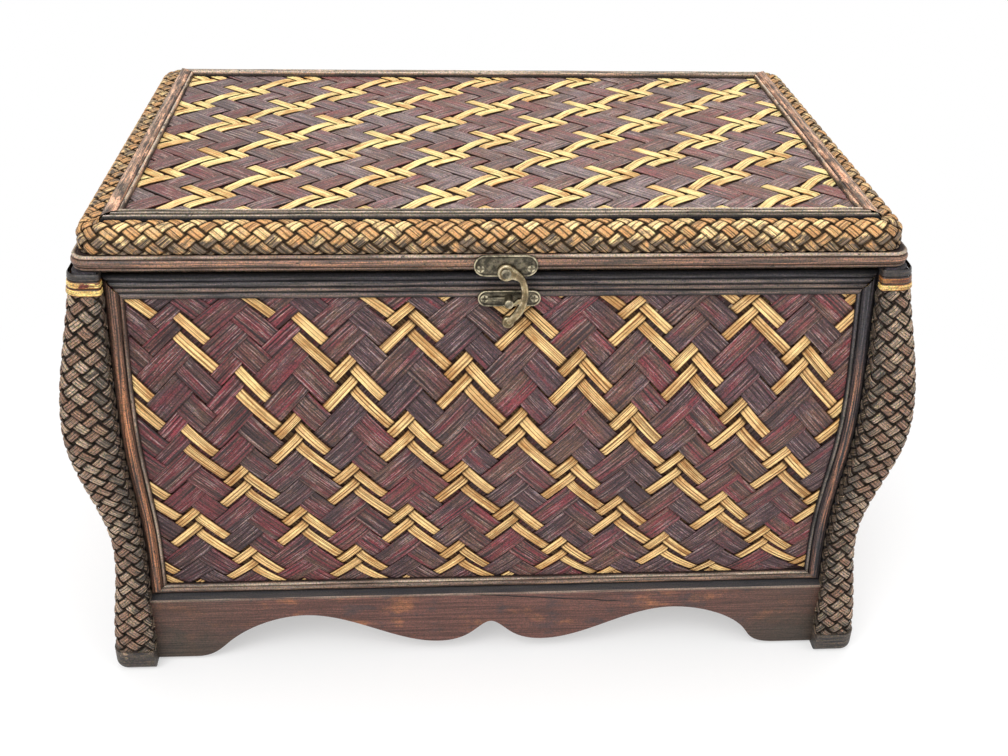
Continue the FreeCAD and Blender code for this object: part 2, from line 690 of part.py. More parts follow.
def make_lid_braid():
    """The braided roll over the lid's edge, between the rail and the top moulding."""
    make_hoop("lid_braid", "Sizes.braid_inset", RAIL_TOP, f"({LID_TOP} - {RAIL_TOP} + Sizes.braid_rise)",
              "Sizes.border_inset_x + Sizes.fit_gap", "Sizes.border_inset_y + Sizes.fit_gap",
              "Sizes.roll_top_rounding", "Sizes.roll_base_rounding")


def make_lid_mouldings():
    """The mitred moulding round the woven top, with chamfered upper edges."""
    out_x = f"({HALF_WIDTH} - Sizes.border_inset_x)"
    out_y = f"({HALF_DEPTH} - Sizes.border_inset_y)"
    in_x = f"({out_x} - Sizes.border_width)"
    in_y = f"({out_y} - Sizes.border_width)"
    sides = {
        "front": [(f"-{out_x}", f"-{out_y}"), (out_x, f"-{out_y}"), (in_x, f"-{in_y}"), (f"-{in_x}", f"-{in_y}")],
        "back": [(f"-{out_x}", out_y), (f"-{in_x}", in_y), (in_x, in_y), (out_x, out_y)],
        "left": [(f"-{out_x}", f"-{out_y}"), (f"-{in_x}", f"-{in_y}"), (f"-{in_x}", in_y), (f"-{out_x}", out_y)],
        "right": [(out_x, f"-{out_y}"), (out_x, out_y), (in_x, in_y), (in_x, f"-{in_y}")],
    }
    top = size(f"{LID_TOP} + Sizes.border_height")
    for name, outline in sides.items():
        body = new_body("lid_" + name + "_moulding")
        sketch = new_sketch(body, name + "_moulding_outline", "XY_Plane", LID_TOP)
        draw_outline(sketch, outline)
        bar = pad(body, sketch, "Sizes.border_height")

        def upper_long(edge):
            box = edge.BoundBox
            return at_level(top)(edge) and min(box.XLength, box.YLength) < fit_gap

        dress(body, "Chamfer", "Size", bar, name + "_moulding_bevel", upper_long, "Sizes.border_chamfer")


# Hinges and screws

LEAF_PLACES = []
for side in ("-", ""):
    middle = f"{side}Sizes.hinge_spacing / 2"
    for shift in ("-", "+"):
        LEAF_PLACES.append((f"({middle} {shift} Sizes.leaf_screw_spacing / 2)", LEAF_SCREW_Y))

CATCH_SCREWS = [(f"({CATCH_X} {shift} Sizes.plate_screw_spacing / 2)", CATCH_Z) for shift in ("-", "+")]
LATCH_SCREW_Z = f"({LATCH_Z} - Sizes.latch_screw_drop)"
LATCH_SCREWS = [(f"({PIVOT_X} {shift} Sizes.plate_screw_spacing / 2)", LATCH_SCREW_Z) for shift in ("-", "+")]


def screw_place(place, level, turn):
    """The three coordinates of a screw's head from its two and the level of the head."""
    if turn is TO_THE_BACK:
        return (place[0], level, place[1])
    return (place[0], place[1], level)


def screws(name, places, level, turn, head_radius, spare="0 * Sizes.pin_clearance"):
    """Countersunk screws with their heads flush at a level, or their holes where spare is given."""
    shank = f"Sizes.screw_shank_radius + {spare}"
    made = []
    for index, place in enumerate(places):
        label = "%s_screw_%d" % (name, index)
        at = screw_place(place, level, turn)
        head = primitive("Cone", label + "_head", at, turn, Radius1=f"{head_radius} + {spare}", Radius2=shank,
                         Height="Sizes.screw_head_height")
        stem = primitive("Cylinder", label + "_stem", at, turn, Radius=shank, Height=f"Sizes.screw_length + {spare}")
        made.append(fused(label, [head, stem]))
    return made


def screw_holes(name, places, level, turn):
    """The holes of screws in the wood behind a plate or leaf."""
    label = name + "_hole"
    spare = "Sizes.pin_clearance"
    holes = []
    for index, place in enumerate(places):
        at = screw_place(place, level, turn)
        holes.append(primitive("Cylinder", "%s_%d" % (label, index), at, turn,
                               Radius=f"Sizes.screw_shank_radius + {spare}", Height=f"Sizes.screw_length + {spare}"))
    return holes


def leaf_recesses(name):
    """The spaces of both hinges' leaves, cut into the wood above and below the seam."""
    recesses = []
    for number, side in enumerate(("-", "")):
        left = f"{side}Sizes.hinge_spacing / 2 - Sizes.hinge_length / 2 - Sizes.fit_gap"
        low = (left, f"{LEAF_END_Y} - Sizes.fit_gap", "Sizes.rim_height - Sizes.leaf_thickness - Sizes.fit_gap")
        spans = ("Sizes.hinge_length + 2 * Sizes.fit_gap", f"{PIN_Y} - {LEAF_END_Y} + Sizes.overrun",
                 "2 * Sizes.leaf_thickness + 3 * Sizes.fit_gap")
        recesses.append(box_at("%s_recess_%d" % (name, number), low, spans))
    return recesses


def hinge_leaf(name, number, side, low_z, knuckles, turn):
    """One leaf: a plate, its knuckles round the pin, the bore and the screw holes."""
    left = f"{side}Sizes.hinge_spacing / 2 - Sizes.hinge_length / 2"
    plate_length = f"{PIN_Y} - Sizes.knuckle_radius - Sizes.fit_gap - {LEAF_END_Y}"
    label = "%s_leaf_%d" % (name, number)
    spans = ("Sizes.hinge_length", plate_length, "Sizes.leaf_thickness")
    metal = [box_at(label + "_plate", (left, LEAF_END_Y, low_z), spans)]
    for index, (shift, length) in enumerate(knuckles):
        start = f"{left} + {shift}"
        spans = (length, f"{PIN_Y} - {LEAF_END_Y}", "Sizes.leaf_thickness")
        metal.append(box_at("%s_tongue_%d" % (label, index), (start, LEAF_END_Y, low_z), spans))
        metal.append(primitive("Cylinder", "%s_knuckle_%d" % (label, index), (start, PIN_Y, PIN_Z), TO_THE_RIGHT,
                               Radius="Sizes.knuckle_radius", Height=length))
    bore = primitive("Cylinder", label + "_bore", (f"{left} - Sizes.overrun", PIN_Y, PIN_Z), TO_THE_RIGHT,
                     Radius="Sizes.pin_radius + Sizes.pin_clearance", Height="Sizes.hinge_length + 2 * Sizes.overrun")
    level = "Sizes.rim_height" if turn is DOWNWARD else LID_BASE
    places = LEAF_PLACES[:2] if number == 0 else LEAF_PLACES[2:]
    holes = screws(label + "_hole", places, level, turn, "Sizes.leaf_screw_head", "Sizes.pin_clearance")
    return cut_away(label, fused(label + "_metal", metal), [bore] + holes)


def make_hinges():
    """Two butt hinges in the seam at the back, and their pins."""
    third = "Sizes.hinge_length / 3"
    middle = [(f"{third} + Sizes.fit_gap / 2", f"{third} - Sizes.fit_gap")]
    outer = [("0 * Sizes.fit_gap", f"{third} - Sizes.fit_gap / 2"),
             (f"2 * {third} + Sizes.fit_gap / 2", f"{third} - Sizes.fit_gap / 2")]
    lower, upper, pins = [], [], []
    for number, side in enumerate(("-", "")):
        lower_z = "Sizes.rim_height - Sizes.leaf_thickness"
        lower.append(hinge_leaf("body", number, side, lower_z, middle, DOWNWARD))
        upper.append(hinge_leaf("lid", number, side, LID_BASE, outer, UPRIGHT))
        left = f"{side}Sizes.hinge_spacing / 2 - Sizes.hinge_length / 2"
        pins.append(primitive("Cylinder", "hinge_pin_%d" % number, (left, PIN_Y, PIN_Z), TO_THE_RIGHT,
                              Radius="Sizes.pin_radius", Height="Sizes.hinge_length"))
    grouped("hinge_body_leaves", lower)
    grouped("hinge_lid_leaves", upper)
    grouped("hinge_pins", pins)


def make_screws():
    """All screws, grouped by the body that they hold to."""
    body_screws = screws("catch", CATCH_SCREWS, f"-{CATCH_FRONT}", TO_THE_BACK, "Sizes.plate_screw_head")
    body_screws += screws("lower_leaf", LEAF_PLACES, "Sizes.rim_height", DOWNWARD, "Sizes.leaf_screw_head")
    lid_screws = screws("latch", LATCH_SCREWS, f"-{LATCH_FRONT}", TO_THE_BACK, "Sizes.plate_screw_head")
    lid_screws += screws("upper_leaf", LEAF_PLACES, LID_BASE, UPRIGHT, "Sizes.leaf_screw_head")
    grouped("body_screws", body_screws)
    grouped("lid_screws", lid_screws)


# Latch

def round_ended_plate(label, middle_x, middle_z, height, back, screw_places, front):
    """A plate with round ends across the front, countersunk for its screws."""
    body = new_body(label)
    half = f"((Sizes.latch_width - {height}) / 2)"
    middle = new_sketch(body, label + "_middle", "XZ_Plane", back)
    low, high = f"({middle_z} - {height} / 2)", f"({middle_z} + {height} / 2)"
    left, right = f"({middle_x} - {half})", f"({middle_x} + {half})"
    draw_outline(middle, [(left, low), (right, low), (right, high), (left, high)])
    pad(body, middle, "Sizes.plate_thickness")
    for name, place in (("_left", left), ("_right", right)):
        end = new_sketch(body, label + name, "XZ_Plane", back)
        draw_circle(end, (place, middle_z), f"{height} / 2")
        pad(body, end, "Sizes.plate_thickness")
    return body, screws(label + "_hole", screw_places, f"-{front}", TO_THE_BACK, "Sizes.plate_screw_head",
                        "Sizes.pin_clearance")


def make_plates():
    """The latch plate on the lid rail and the catch plate with its peg on the wall's top rail."""
    plate, holes = round_ended_plate("latch_plate", PIVOT_X, LATCH_Z, "Sizes.latch_height", LATCH_BACK,
                                     LATCH_SCREWS, LATCH_FRONT)
    cut_away("latch_plate", plate, holes)
    catch, holes = round_ended_plate("catch_plate", CATCH_X, CATCH_Z, "Sizes.catch_height", CATCH_BACK,
                                     CATCH_SCREWS, CATCH_FRONT)
    peg = new_sketch(catch, "catch_peg", "XZ_Plane", CATCH_BACK)
    draw_circle(peg, (f"({PIVOT_X} + Sizes.peg_shift)", f"({PIVOT_Z} - Sizes.peg_drop)"), "Sizes.peg_radius")
    pad(catch, peg, f"{HOOK_FRONT} - {CATCH_BACK}")
    cut_away("catch_plate", catch, holes)


def make_rivet():
    """The rivet that the hook turns on."""
    body = new_body("latch_rivet")
    stem = new_sketch(body, "rivet_stem", "XZ_Plane", LATCH_FRONT)
    draw_circle(stem, (PIVOT_X, PIVOT_Z), "Sizes.rivet_radius")
    pad(body, stem, f"{HOOK_FRONT} + Sizes.fit_gap - {LATCH_FRONT}")
    head = new_sketch(body, "rivet_head", "XZ_Plane", f"{HOOK_FRONT} + Sizes.fit_gap")
    draw_circle(head, (PIVOT_X, PIVOT_Z), "Sizes.rivet_head_radius")
    pad(body, head, "Sizes.rivet_head_height")


def make_hook():
    """The hook: an eye on the rivet, a bow round the peg, a barb under it and a round tail."""
    body = new_body("latch_hook")
    middle = (f"({PIVOT_X} - Sizes.bow_middle_left)", f"({PIVOT_Z} - Sizes.bow_middle_drop)")
    bow = new_sketch(body, "hook_bow", "XZ_Plane", HOOK_BACK)
    draw_circle(bow, middle, "Sizes.bow_radius", "outer")
    draw_circle(bow, middle, "(Sizes.bow_radius - Sizes.bow_width)", "inner")
    pad(body, bow, "Sizes.hook_thickness")
    clip = new_sketch(body, "hook_clip", "XZ_Plane", HOOK_BACK)
    left = f"({middle[0]} - Sizes.bow_radius - Sizes.overrun)"
    right = f"({PIVOT_X} + Sizes.bow_end)"
    low = f"({middle[1]} - Sizes.bow_radius - Sizes.overrun)"
    high = f"({middle[1]} + Sizes.bow_radius + Sizes.overrun)"
    draw_outline(clip, [(left, low), (right, low), (right, high), (left, high)])
    pocket(body, clip, "Sizes.hook_thickness")
    rounds = [
        ("hook_eye", (PIVOT_X, PIVOT_Z), "Sizes.eye_radius"),
        ("hook_tail", (f"({PIVOT_X} + Sizes.tail_shift)", f"({PIVOT_Z} - Sizes.tail_drop)"), "Sizes.tail_radius"),
    ]
    for name, place, radius in rounds:
        disc = new_sketch(body, name, "XZ_Plane", HOOK_BACK)
        draw_circle(disc, place, radius)
        pad(body, disc, "Sizes.hook_thickness")
    root_x, root_z = f"({PIVOT_X} + Sizes.barb_root_shift)", f"({PIVOT_Z} - Sizes.barb_root_drop)"
    barb = new_sketch(body, "hook_barb", "XZ_Plane", HOOK_BACK)
    draw_outline(barb, [
        (root_x, root_z),
        (f"({PIVOT_X} + Sizes.barb_tip_shift)", f"({PIVOT_Z} - Sizes.barb_tip_drop)"),
        (root_x, f"({PIVOT_Z} - Sizes.barb_tip_drop - Sizes.barb_width)"),
        (f"{root_x} + Sizes.bow_width / 2", root_z),
    ])
    pad(body, barb, "Sizes.hook_thickness")
    bore = new_sketch(body, "hook_bore", "XZ_Plane", HOOK_BACK)
    draw_circle(bore, (PIVOT_X, PIVOT_Z), "(Sizes.rivet_radius + Sizes.pin_clearance)")
    pocket(body, bore, "Sizes.hook_thickness")


add_size("catch_bow", curve_at(max(size(TOP_RAIL_BASE), size(CATCH_Z) - size("catch_height") / 2))[0],
         "how far the wall stands out behind the catch plate, from the S-curve")
doc.recompute()

make_boards()
make_weaves()
make_wall_frames()
make_posts()
make_feet()
make_floor()
make_aprons()
make_lid_frame()
make_lid_panels()
make_lid_rail()
make_lid_braid()
make_lid_mouldings()
make_hinges()
make_screws()
make_plates()
make_rivet()
make_hook()
doc.recompute()


def finished_parts():
    """The sub-parts: what no other object of the document uses, without the screw-hole tools."""
    kinds = ("Part::Feature", "Part::Cut", "Part::Compound", "PartDesign::Body")
    return [item for item in doc.Objects if item.TypeId in kinds and not used_by_another(item)]


def used_by_another(item):
    """Whether another object of the document takes this one in."""
    return any(other.TypeId.startswith("Part::") for other in item.InList)


for item in doc.Objects:
    if "Invalid" in item.State or "Error" in item.State:
        raise RuntimeError("failed: " + item.Label)
for part in finished_parts():
    if part.Shape.isNull() or not part.Shape.isValid() or not part.Shape.Solids:
        raise RuntimeError("bad shape: " + part.Label)

os.makedirs("parts", exist_ok=True)
for part in finished_parts():
    part.Shape.exportStep("parts/" + part.Label + ".step")
print(len(finished_parts()), "sub-parts written")
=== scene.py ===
import math

import bpy
import numpy as np
from mathutils import Matrix, Vector


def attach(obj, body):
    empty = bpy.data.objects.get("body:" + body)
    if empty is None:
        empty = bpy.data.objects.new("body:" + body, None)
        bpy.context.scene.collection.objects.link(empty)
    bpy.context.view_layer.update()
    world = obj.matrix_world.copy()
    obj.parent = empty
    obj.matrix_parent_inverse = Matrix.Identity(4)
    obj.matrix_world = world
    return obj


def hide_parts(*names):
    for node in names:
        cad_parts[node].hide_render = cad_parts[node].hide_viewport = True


bl_info = {
    "name": "Wicker Trunk",
    "version": (1, 0, 0),
    "blender": (4, 5, 0),
    "location": "View3D > Sidebar > Trunk",
    "description": "Dresses the packed wicker trunk with woven reed, braid, mouldings and a brass latch",
    "category": "Object",
}

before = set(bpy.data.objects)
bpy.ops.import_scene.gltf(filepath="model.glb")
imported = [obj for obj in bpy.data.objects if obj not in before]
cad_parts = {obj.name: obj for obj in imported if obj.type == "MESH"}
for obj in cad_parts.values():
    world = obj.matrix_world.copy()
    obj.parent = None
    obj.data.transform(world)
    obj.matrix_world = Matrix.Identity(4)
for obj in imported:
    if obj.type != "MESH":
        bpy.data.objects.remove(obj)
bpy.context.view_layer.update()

MM = 0.001

# The walls' S-curve: height, how far the wall stands out there and its slope, in millimetres.
CURVE = (
    (0.0, 8.0, 0.0),
    (14.0, 8.0, 0.0),
    (82.0, 1.8, 0.0),
    (169.0, 13.6, 0.0),
    (258.7, 0.0, -0.13),
)

# Each wall's quarter turns, half length inside the posts and the distance of its weave from the middle.
WALLS = {
    "front": (0, 200.8, 126.4),
    "right": (1, 120.7, 203.9),
    "back": (2, 200.8, 126.4),
    "left": (3, 120.7, 203.9),
}

# The corner posts: name, side of the trunk in x and in y.
POSTS = {
    "front_left": (-1, -1),
    "front_right": (1, -1),
    "back_left": (-1, 1),
    "back_right": (1, 1),
}

WEAVE_FOOT = 47.3
WEAVE_HEAD = 254.0
STILE_WIDTH = 10.0
STILE_OUTER = 201.1
SIDE_STILE_OUTER = 121.0
TOP_RAIL_FOOT = 240.5
BOTTOM_RAIL_HEAD = 53.3
POST_FACE_X = 216.3
POST_FACE_Y = 138.8
POST_RADIUS = 8.0
POST_INNER_X = 201.1
POST_INNER_Y = 121.0
FLANK_REACH = 1.3
INNER_RADIUS = 1.6
FLANK_DEPTH = 7.0
POST_FOOT = 14.0
BRAID_HEAD = 247.3
LID_TOP = 281.0

# Half the width, half the depth and the corner radius of the lid's rail and of its braided roll.
RAIL_RING = (215.0, 137.5, 10.0)
BRAID_RING = (212.0, 134.5, 13.6)
BRAID_FOOT = 267.6
BRAID_TOP = 281.8
BRAID_RADIUS = 8.0
# Half the width and half the depth of the lid mouldings' outer edge.
LID_MOULDING_OUTER = (199.0, 124.5)
LID_MOULDING_WIDTH = 9.5

WEAVE_MARGIN = 2.5
MITRE_GAP = 0.12
LID_MITRE_GAP = 0.15
# How far a drift may move the reeds of a panel.
DRIFT_REACH = 16.0


# Settings

def colour_setting(label, description, value):
    """A colour that a user can change, given as it looks on the screen."""
    return bpy.props.FloatVectorProperty(
        name=label, description=description, subtype="COLOR_GAMMA", size=3, min=0.0, max=1.0,
        default=tuple(channel / 255 for channel in value))


def length_setting(label, description, millimetres):
    """A length that a user can change."""
    return bpy.props.FloatProperty(
        name=label, description=description, subtype="DISTANCE", unit="LENGTH", min=0.0,
        precision=5, default=millimetres * MM)


class TrunkSizes(bpy.types.PropertyGroup):
    """Sizes of the reeds and strips."""
    reed_thickness: length_setting("Reed thickness", "Thickness of the flat reeds of the panels", 0.5)
    reed_relief: length_setting("Reed relief", "How far a reed rises over and sinks under the others", 0.48)
    reed_transition: length_setting("Reed transition", "Half the length of a reed's way under another", 1.7)
    braid_thickness: length_setting("Braid thickness", "Thickness of the strips of the braids", 0.6)
    post_braid_pitch: length_setting("Post braid pitch", "Distance between the strips on the posts", 6.7)
    lid_braid_pitch: length_setting("Lid braid pitch", "Distance between the strips of the lid's braid", 5.35)
    groove_depth: length_setting("Groove depth", "Depth of the grooves between the fibres of a reed", 0.16)


class TrunkColours(bpy.types.PropertyGroup):
    """Colours of the materials."""
    dark_reed: colour_setting("Dark reed", "The broad dark reeds", (100, 72, 76))
    brown_reed: colour_setting("Brown reed", "Browner places of the dark reeds", (112, 80, 66))
    red_reed: colour_setting("Red reed", "Reeds whose stain turns red", (138, 52, 62))
    grey_reed: colour_setting("Grey reed", "Worn lights of the dark reeds", (196, 172, 166))
    faded_reed: colour_setting("Faded reed", "The broad reeds of the lid", (162, 138, 136))
    faded_light: colour_setting("Faded light", "Worn lights of the lid's reeds", (226, 208, 196))
    yellow_reed: colour_setting("Yellow reed", "The fine yellow reeds", (250, 202, 138))
    orange_reed: colour_setting("Orange reed", "Streaks of the yellow reeds", (204, 138, 66))
    tan_braid: colour_setting("Tan braid", "The lights of the braids", (178, 153, 128))
    brown_braid: colour_setting("Brown braid", "Browner strips of the braids", (138, 103, 82))
    grey_braid: colour_setting("Grey braid", "The dirt of the braids", (92, 80, 68))
    gold_braid: colour_setting("Gold braid", "The lights of the lid's braid", (234, 192, 134))
    amber_braid: colour_setting("Amber braid", "Browner strips of the lid's braid", (194, 142, 88))
    umber_braid: colour_setting("Umber braid", "The dirt of the lid's braid", (122, 102, 84))
    dark_wood: colour_setting("Dark wood", "Rails", (58, 54, 57))
    brown_wood: colour_setting("Brown wood", "Stiles and mouldings", (92, 68, 56))
    weathered_wood: colour_setting("Weathered wood", "The lid's front and back mouldings", (112, 98, 84))
    side_wood: colour_setting("Side wood", "The lid's side mouldings", (130, 98, 78))
    worn_wood: colour_setting("Worn wood", "Wear on the ridges of the mouldings", (214, 140, 92))
    pale_wear_and_highlight: colour_setting("Pale wear", "Thin light lines of the mouldings", (212, 194, 172))
    apron_wood: colour_setting("Apron wood", "The carved aprons", (95, 62, 54))
    binding: colour_setting("Binding", "The bright bindings at the tops of the posts", (246, 204, 124))
    binding_edge: colour_setting("Binding edge", "The red edges of the bindings", (128, 40, 26))
    brass: colour_setting("Brass", "The antique brass", (176, 152, 110))
    dull_brass: colour_setting("Dull brass", "The plates' greyer brass", (168, 156, 130))
    brass_light: colour_setting("Brass light", "The rubbed edges of the brass", (240, 226, 190))
    brass_shade: colour_setting("Brass shade", "The dark of the brass's hollows", (44, 38, 28))


def sizes():
    """The sizes as the user has set them, in millimetres."""
    group = bpy.context.scene.trunk_sizes
    return {name: getattr(group, name) / MM for name in TrunkSizes.__annotations__}


def linear(channel):
    """One channel of a screen colour as light."""
    return channel / 12.92 if channel <= 0.04045 else ((channel + 0.055) / 1.055) ** 2.4


def colour(name, strength=1.0):
    """A colour of the settings for a shader, darker or lighter by a strength."""
    channels = getattr(bpy.context.scene.trunk_colours, name)
    return tuple(min(linear(channel) * strength, 1.0) for channel in channels) + (1.0,)


# Shapes of the trunk

def joined(*parts):
    """Arrays side by side along a new last axis, each spread over the shape of all."""
    return np.stack(np.broadcast_arrays(*parts), -1)


def bulge(z):
    """How far the walls stand out at a height."""
    z = np.clip(np.asarray(z, float), CURVE[0][0], CURVE[-1][0])
    out = np.zeros_like(z)
    for (z0, out0, slope0), (z1, out1, slope1) in zip(CURVE, CURVE[1:]):
        span = z1 - z0
        share = (z - z0) / span
        rest = 1 - share
        piece = out0 + (out1 - out0) * share ** 2 * (3 - 2 * share)
        piece = piece + span * share * rest * (slope0 * rest - slope1 * share)
        out = np.where((z >= z0) & (z <= z1), piece, out)
    return out


def slope(z):
    """The walls' lean at a height: how much they go out per millimetre of height."""
    step = 0.05
    return (bulge(z + step) - bulge(z - step)) / (2 * step)


HEIGHTS = np.linspace(0.0, CURVE[-1][0], 2001)
ARCS = np.concatenate([[0.0], np.cumsum(np.hypot(np.diff(HEIGHTS), np.diff(bulge(HEIGHTS))))])


def arc_at(z):
    """The length along the wall from the floor up to a height."""
    return np.interp(z, HEIGHTS, ARCS)


def height_at(arc):
    """The height at a length along the wall."""
    return np.interp(arc, ARCS, HEIGHTS)


def quarter_turned(x, y, z, quarters):
    """Points turned about the upright axis by quarter turns, as one array."""
    for _ in range(quarters):
        x, y = -y, x
    return joined(x, y, z)


def on_wall(wall):
    """The map of a wall's weave: along the wall, up the curve and outward."""
    quarters, _, face = WALLS[wall]

    def place(u, v, h):
        z = height_at(v)
        lean = slope(z)
        steep = np.hypot(1.0, lean)
        reach = face + bulge(z) + h / steep
        return quarter_turned(u, -reach, z - h * lean / steep, quarters)
    return place


def on_post(post):
    """The map of a post's faces: across both outer ones and on to the flanks, up the curve and outward."""
    side_x, side_y = POSTS[post]
    arc = POST_RADIUS * math.pi / 2

    def flat(face, inner, out):
        """How long the straight part of an outer face is at a bulge."""
        return face + out - POST_RADIUS - (inner - FLANK_REACH + INNER_RADIUS)

    def bent(x, y, over, h):
        """Moves points past the straight part of a face round the inner edge and along the flank."""
        angle = np.clip(over / INNER_RADIUS, 0.0, math.pi / 2)
        x = x - (INNER_RADIUS + h) * np.sin(angle)
        y = y - (INNER_RADIUS + h) * (1 - np.cos(angle)) - np.maximum(over - INNER_RADIUS * math.pi / 2, 0.0)
        return x, y

    def place(u, v, h):
        z = height_at(v)
        out = bulge(z)
        angle = np.clip(u / POST_RADIUS, -math.pi / 4, math.pi / 4) - math.pi / 4
        x = POST_FACE_X + out - POST_RADIUS + (POST_RADIUS + h) * np.cos(angle)
        y = POST_FACE_Y + out - POST_RADIUS - (POST_RADIUS + h) * np.sin(angle)
        front, side = flat(POST_FACE_X, POST_INNER_X, out), flat(POST_FACE_Y, POST_INNER_Y, out)
        before, after = -arc / 2 - u, u - arc / 2
        x = x - np.clip(before, 0.0, front)
        y = y - np.clip(after, 0.0, side)
        x, y = bent(x, y, np.maximum(before - front, 0.0), h)
        y, x = bent(y, x, np.maximum(after - side, 0.0), h)
        return joined(side_x * x, side_y * y, z)

    def limits(v, flank):
        out = bulge(height_at(v))
        turn = arc / 2 + INNER_RADIUS * math.pi / 2 + flank
        return -turn - flat(POST_FACE_X, POST_INNER_X, out), turn + flat(POST_FACE_Y, POST_INNER_Y, out)
    return place, limits, side_x * side_y > 0


def ring(half_x, half_y, radius):
    """The map of a rounded rectangle: round it from the middle of the front, outward and up."""
    straight_x, straight_y = half_x - radius, half_y - radius
    quarter = radius * math.pi / 2
    long, short = 2 * straight_x, 2 * straight_y
    legs = [straight_x, quarter, short, quarter, long, quarter, short, quarter, straight_x]
    total = sum(legs)

    def place(u, h, z):
        u = np.mod(u, total)
        x, y = np.zeros_like(u + h), np.zeros_like(u + h)
        start, turn, corner = 0.0, 0.0, [0.0, -half_y]
        for index, leg in enumerate(legs):
            here = (u >= start) & (u <= start + leg)
            along = u - start
            heading = np.array([math.cos(turn), math.sin(turn)])
            outward = np.array([heading[1], -heading[0]])
            if index % 2 == 0:
                px = corner[0] + heading[0] * along + outward[0] * h
                py = corner[1] + heading[1] * along + outward[1] * h
                corner = [corner[0] + heading[0] * leg, corner[1] + heading[1] * leg]
            else:
                centre = [corner[0] - outward[0] * radius, corner[1] - outward[1] * radius]
                angle = math.atan2(outward[1], outward[0]) + along / radius
                px = centre[0] + (radius + h) * np.cos(angle)
                py = centre[1] + (radius + h) * np.sin(angle)
                turn += math.pi / 2
                corner = [centre[0] + radius * math.sin(turn), centre[1] - radius * math.cos(turn)]
            x, y = np.where(here, px, x), np.where(here, py, y)
            start += leg
        return joined(x, y, z)
    return place, total


# Mesh building

def linked(name, data):
    """A new object of the scene."""
    made = bpy.data.objects.new(name, data)
    bpy.context.scene.collection.objects.link(made)
    return made


class Shell:
    """Grids of points that become one mesh, with the marks and fibre coordinates that its material reads."""

    def __init__(self):
        self.points, self.faces, self.fibres, self.marks, self.count = [], [], [], [], 0

    def grid(self, points, fibre, marks, flip=False, closed=False):
        """Adds a grid of quads; rows run across and columns along. Marks are four shares for each point."""
        rows, columns = points.shape[:2]
        index = np.arange(rows * columns).reshape(rows, columns) + self.count
        if closed:
            index = np.concatenate([index, index[:, :1]], 1)
        corners = [index[:-1, :-1], index[1:, :-1], index[1:, 1:], index[:-1, 1:]]
        quads = np.stack(corners, -1).reshape(-1, 4)
        flat = points.reshape(-1, 3)
        ends = flat[quads - self.count]
        area = np.linalg.norm(np.cross(ends[:, 2] - ends[:, 0], ends[:, 3] - ends[:, 1]), axis=1)
        quads = quads[area > 1e-4]
        self.faces.append(quads[:, ::-1] if flip else quads)
        self.points.append(flat)
        self.fibres.append(np.broadcast_to(fibre, (rows, columns, 2)).reshape(-1, 2))
        self.marks.append(np.broadcast_to(marks, (rows, columns, 4)).reshape(-1, 4))
        self.count += rows * columns

    def piece(self, name, body, material, nodes, slot):
        """Makes the mesh object, which rides on a body and stands for CAD nodes."""
        points = np.concatenate(self.points) * MM
        faces = np.concatenate(self.faces)
        used, faces = np.unique(faces, return_inverse=True)
        faces = faces.reshape(-1, 4)
        points = points[used]
        mesh = bpy.data.meshes.new(name)
        mesh.from_pydata(points.tolist(), [], faces.tolist())
        layer = mesh.uv_layers.new(name="fibre")
        fibres = (np.concatenate(self.fibres)[used] * MM)[faces.ravel()]
        layer.data.foreach_set("uv", fibres.astype(np.float32).ravel())
        marks = mesh.attributes.new("marks", "FLOAT_COLOR", "POINT")
        marks.data.foreach_set("color", np.concatenate(self.marks)[used].astype(np.float32).ravel())
        mesh.polygons.foreach_set("use_smooth", np.ones(len(mesh.polygons), bool))
        mesh.set_sharp_from_angle(angle=math.radians(35.0))
        mesh.materials.append(finish(material))
        piece = linked(name, mesh)
        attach(piece, body)
        if nodes:
            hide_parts(*nodes)


def crosscut(look, chance):
    """A reed's section of fine fibres: share across, height and how high on its fibre each point is."""
    fibres, thickness, crown, groove = (look[name] for name in ("fibres", "thickness", "crown", "groove"))
    cuts = np.linspace(-1, 1, fibres + 1)
    cuts[1:-1] += chance.uniform(-0.12, 0.12, fibres - 1) * 2 / fibres
    across, height, level = [-1.0], [-thickness], [0.0]
    for index in range(fibres):
        start, end = cuts[index], cuts[index + 1]
        lift = chance.uniform(-0.25, 0.25) * groove
        if index == 0:
            across, height, level = across + [start], height + [-groove], level + [0.2]
        flank = 0.22 * (end - start)
        across += [start + flank, end - flank, end]
        height += [lift, lift, -groove]
        level += [1.0, 1.0, 0.2]
    across, height, level = across + [1.0], height + [-thickness], level + [0.0]
    across, height = np.array(across), np.array(height)
    rise = crown * (1 - across ** 2)
    rise[0] = rise[-1] = 0.0
    return across, height + rise, np.array(level)


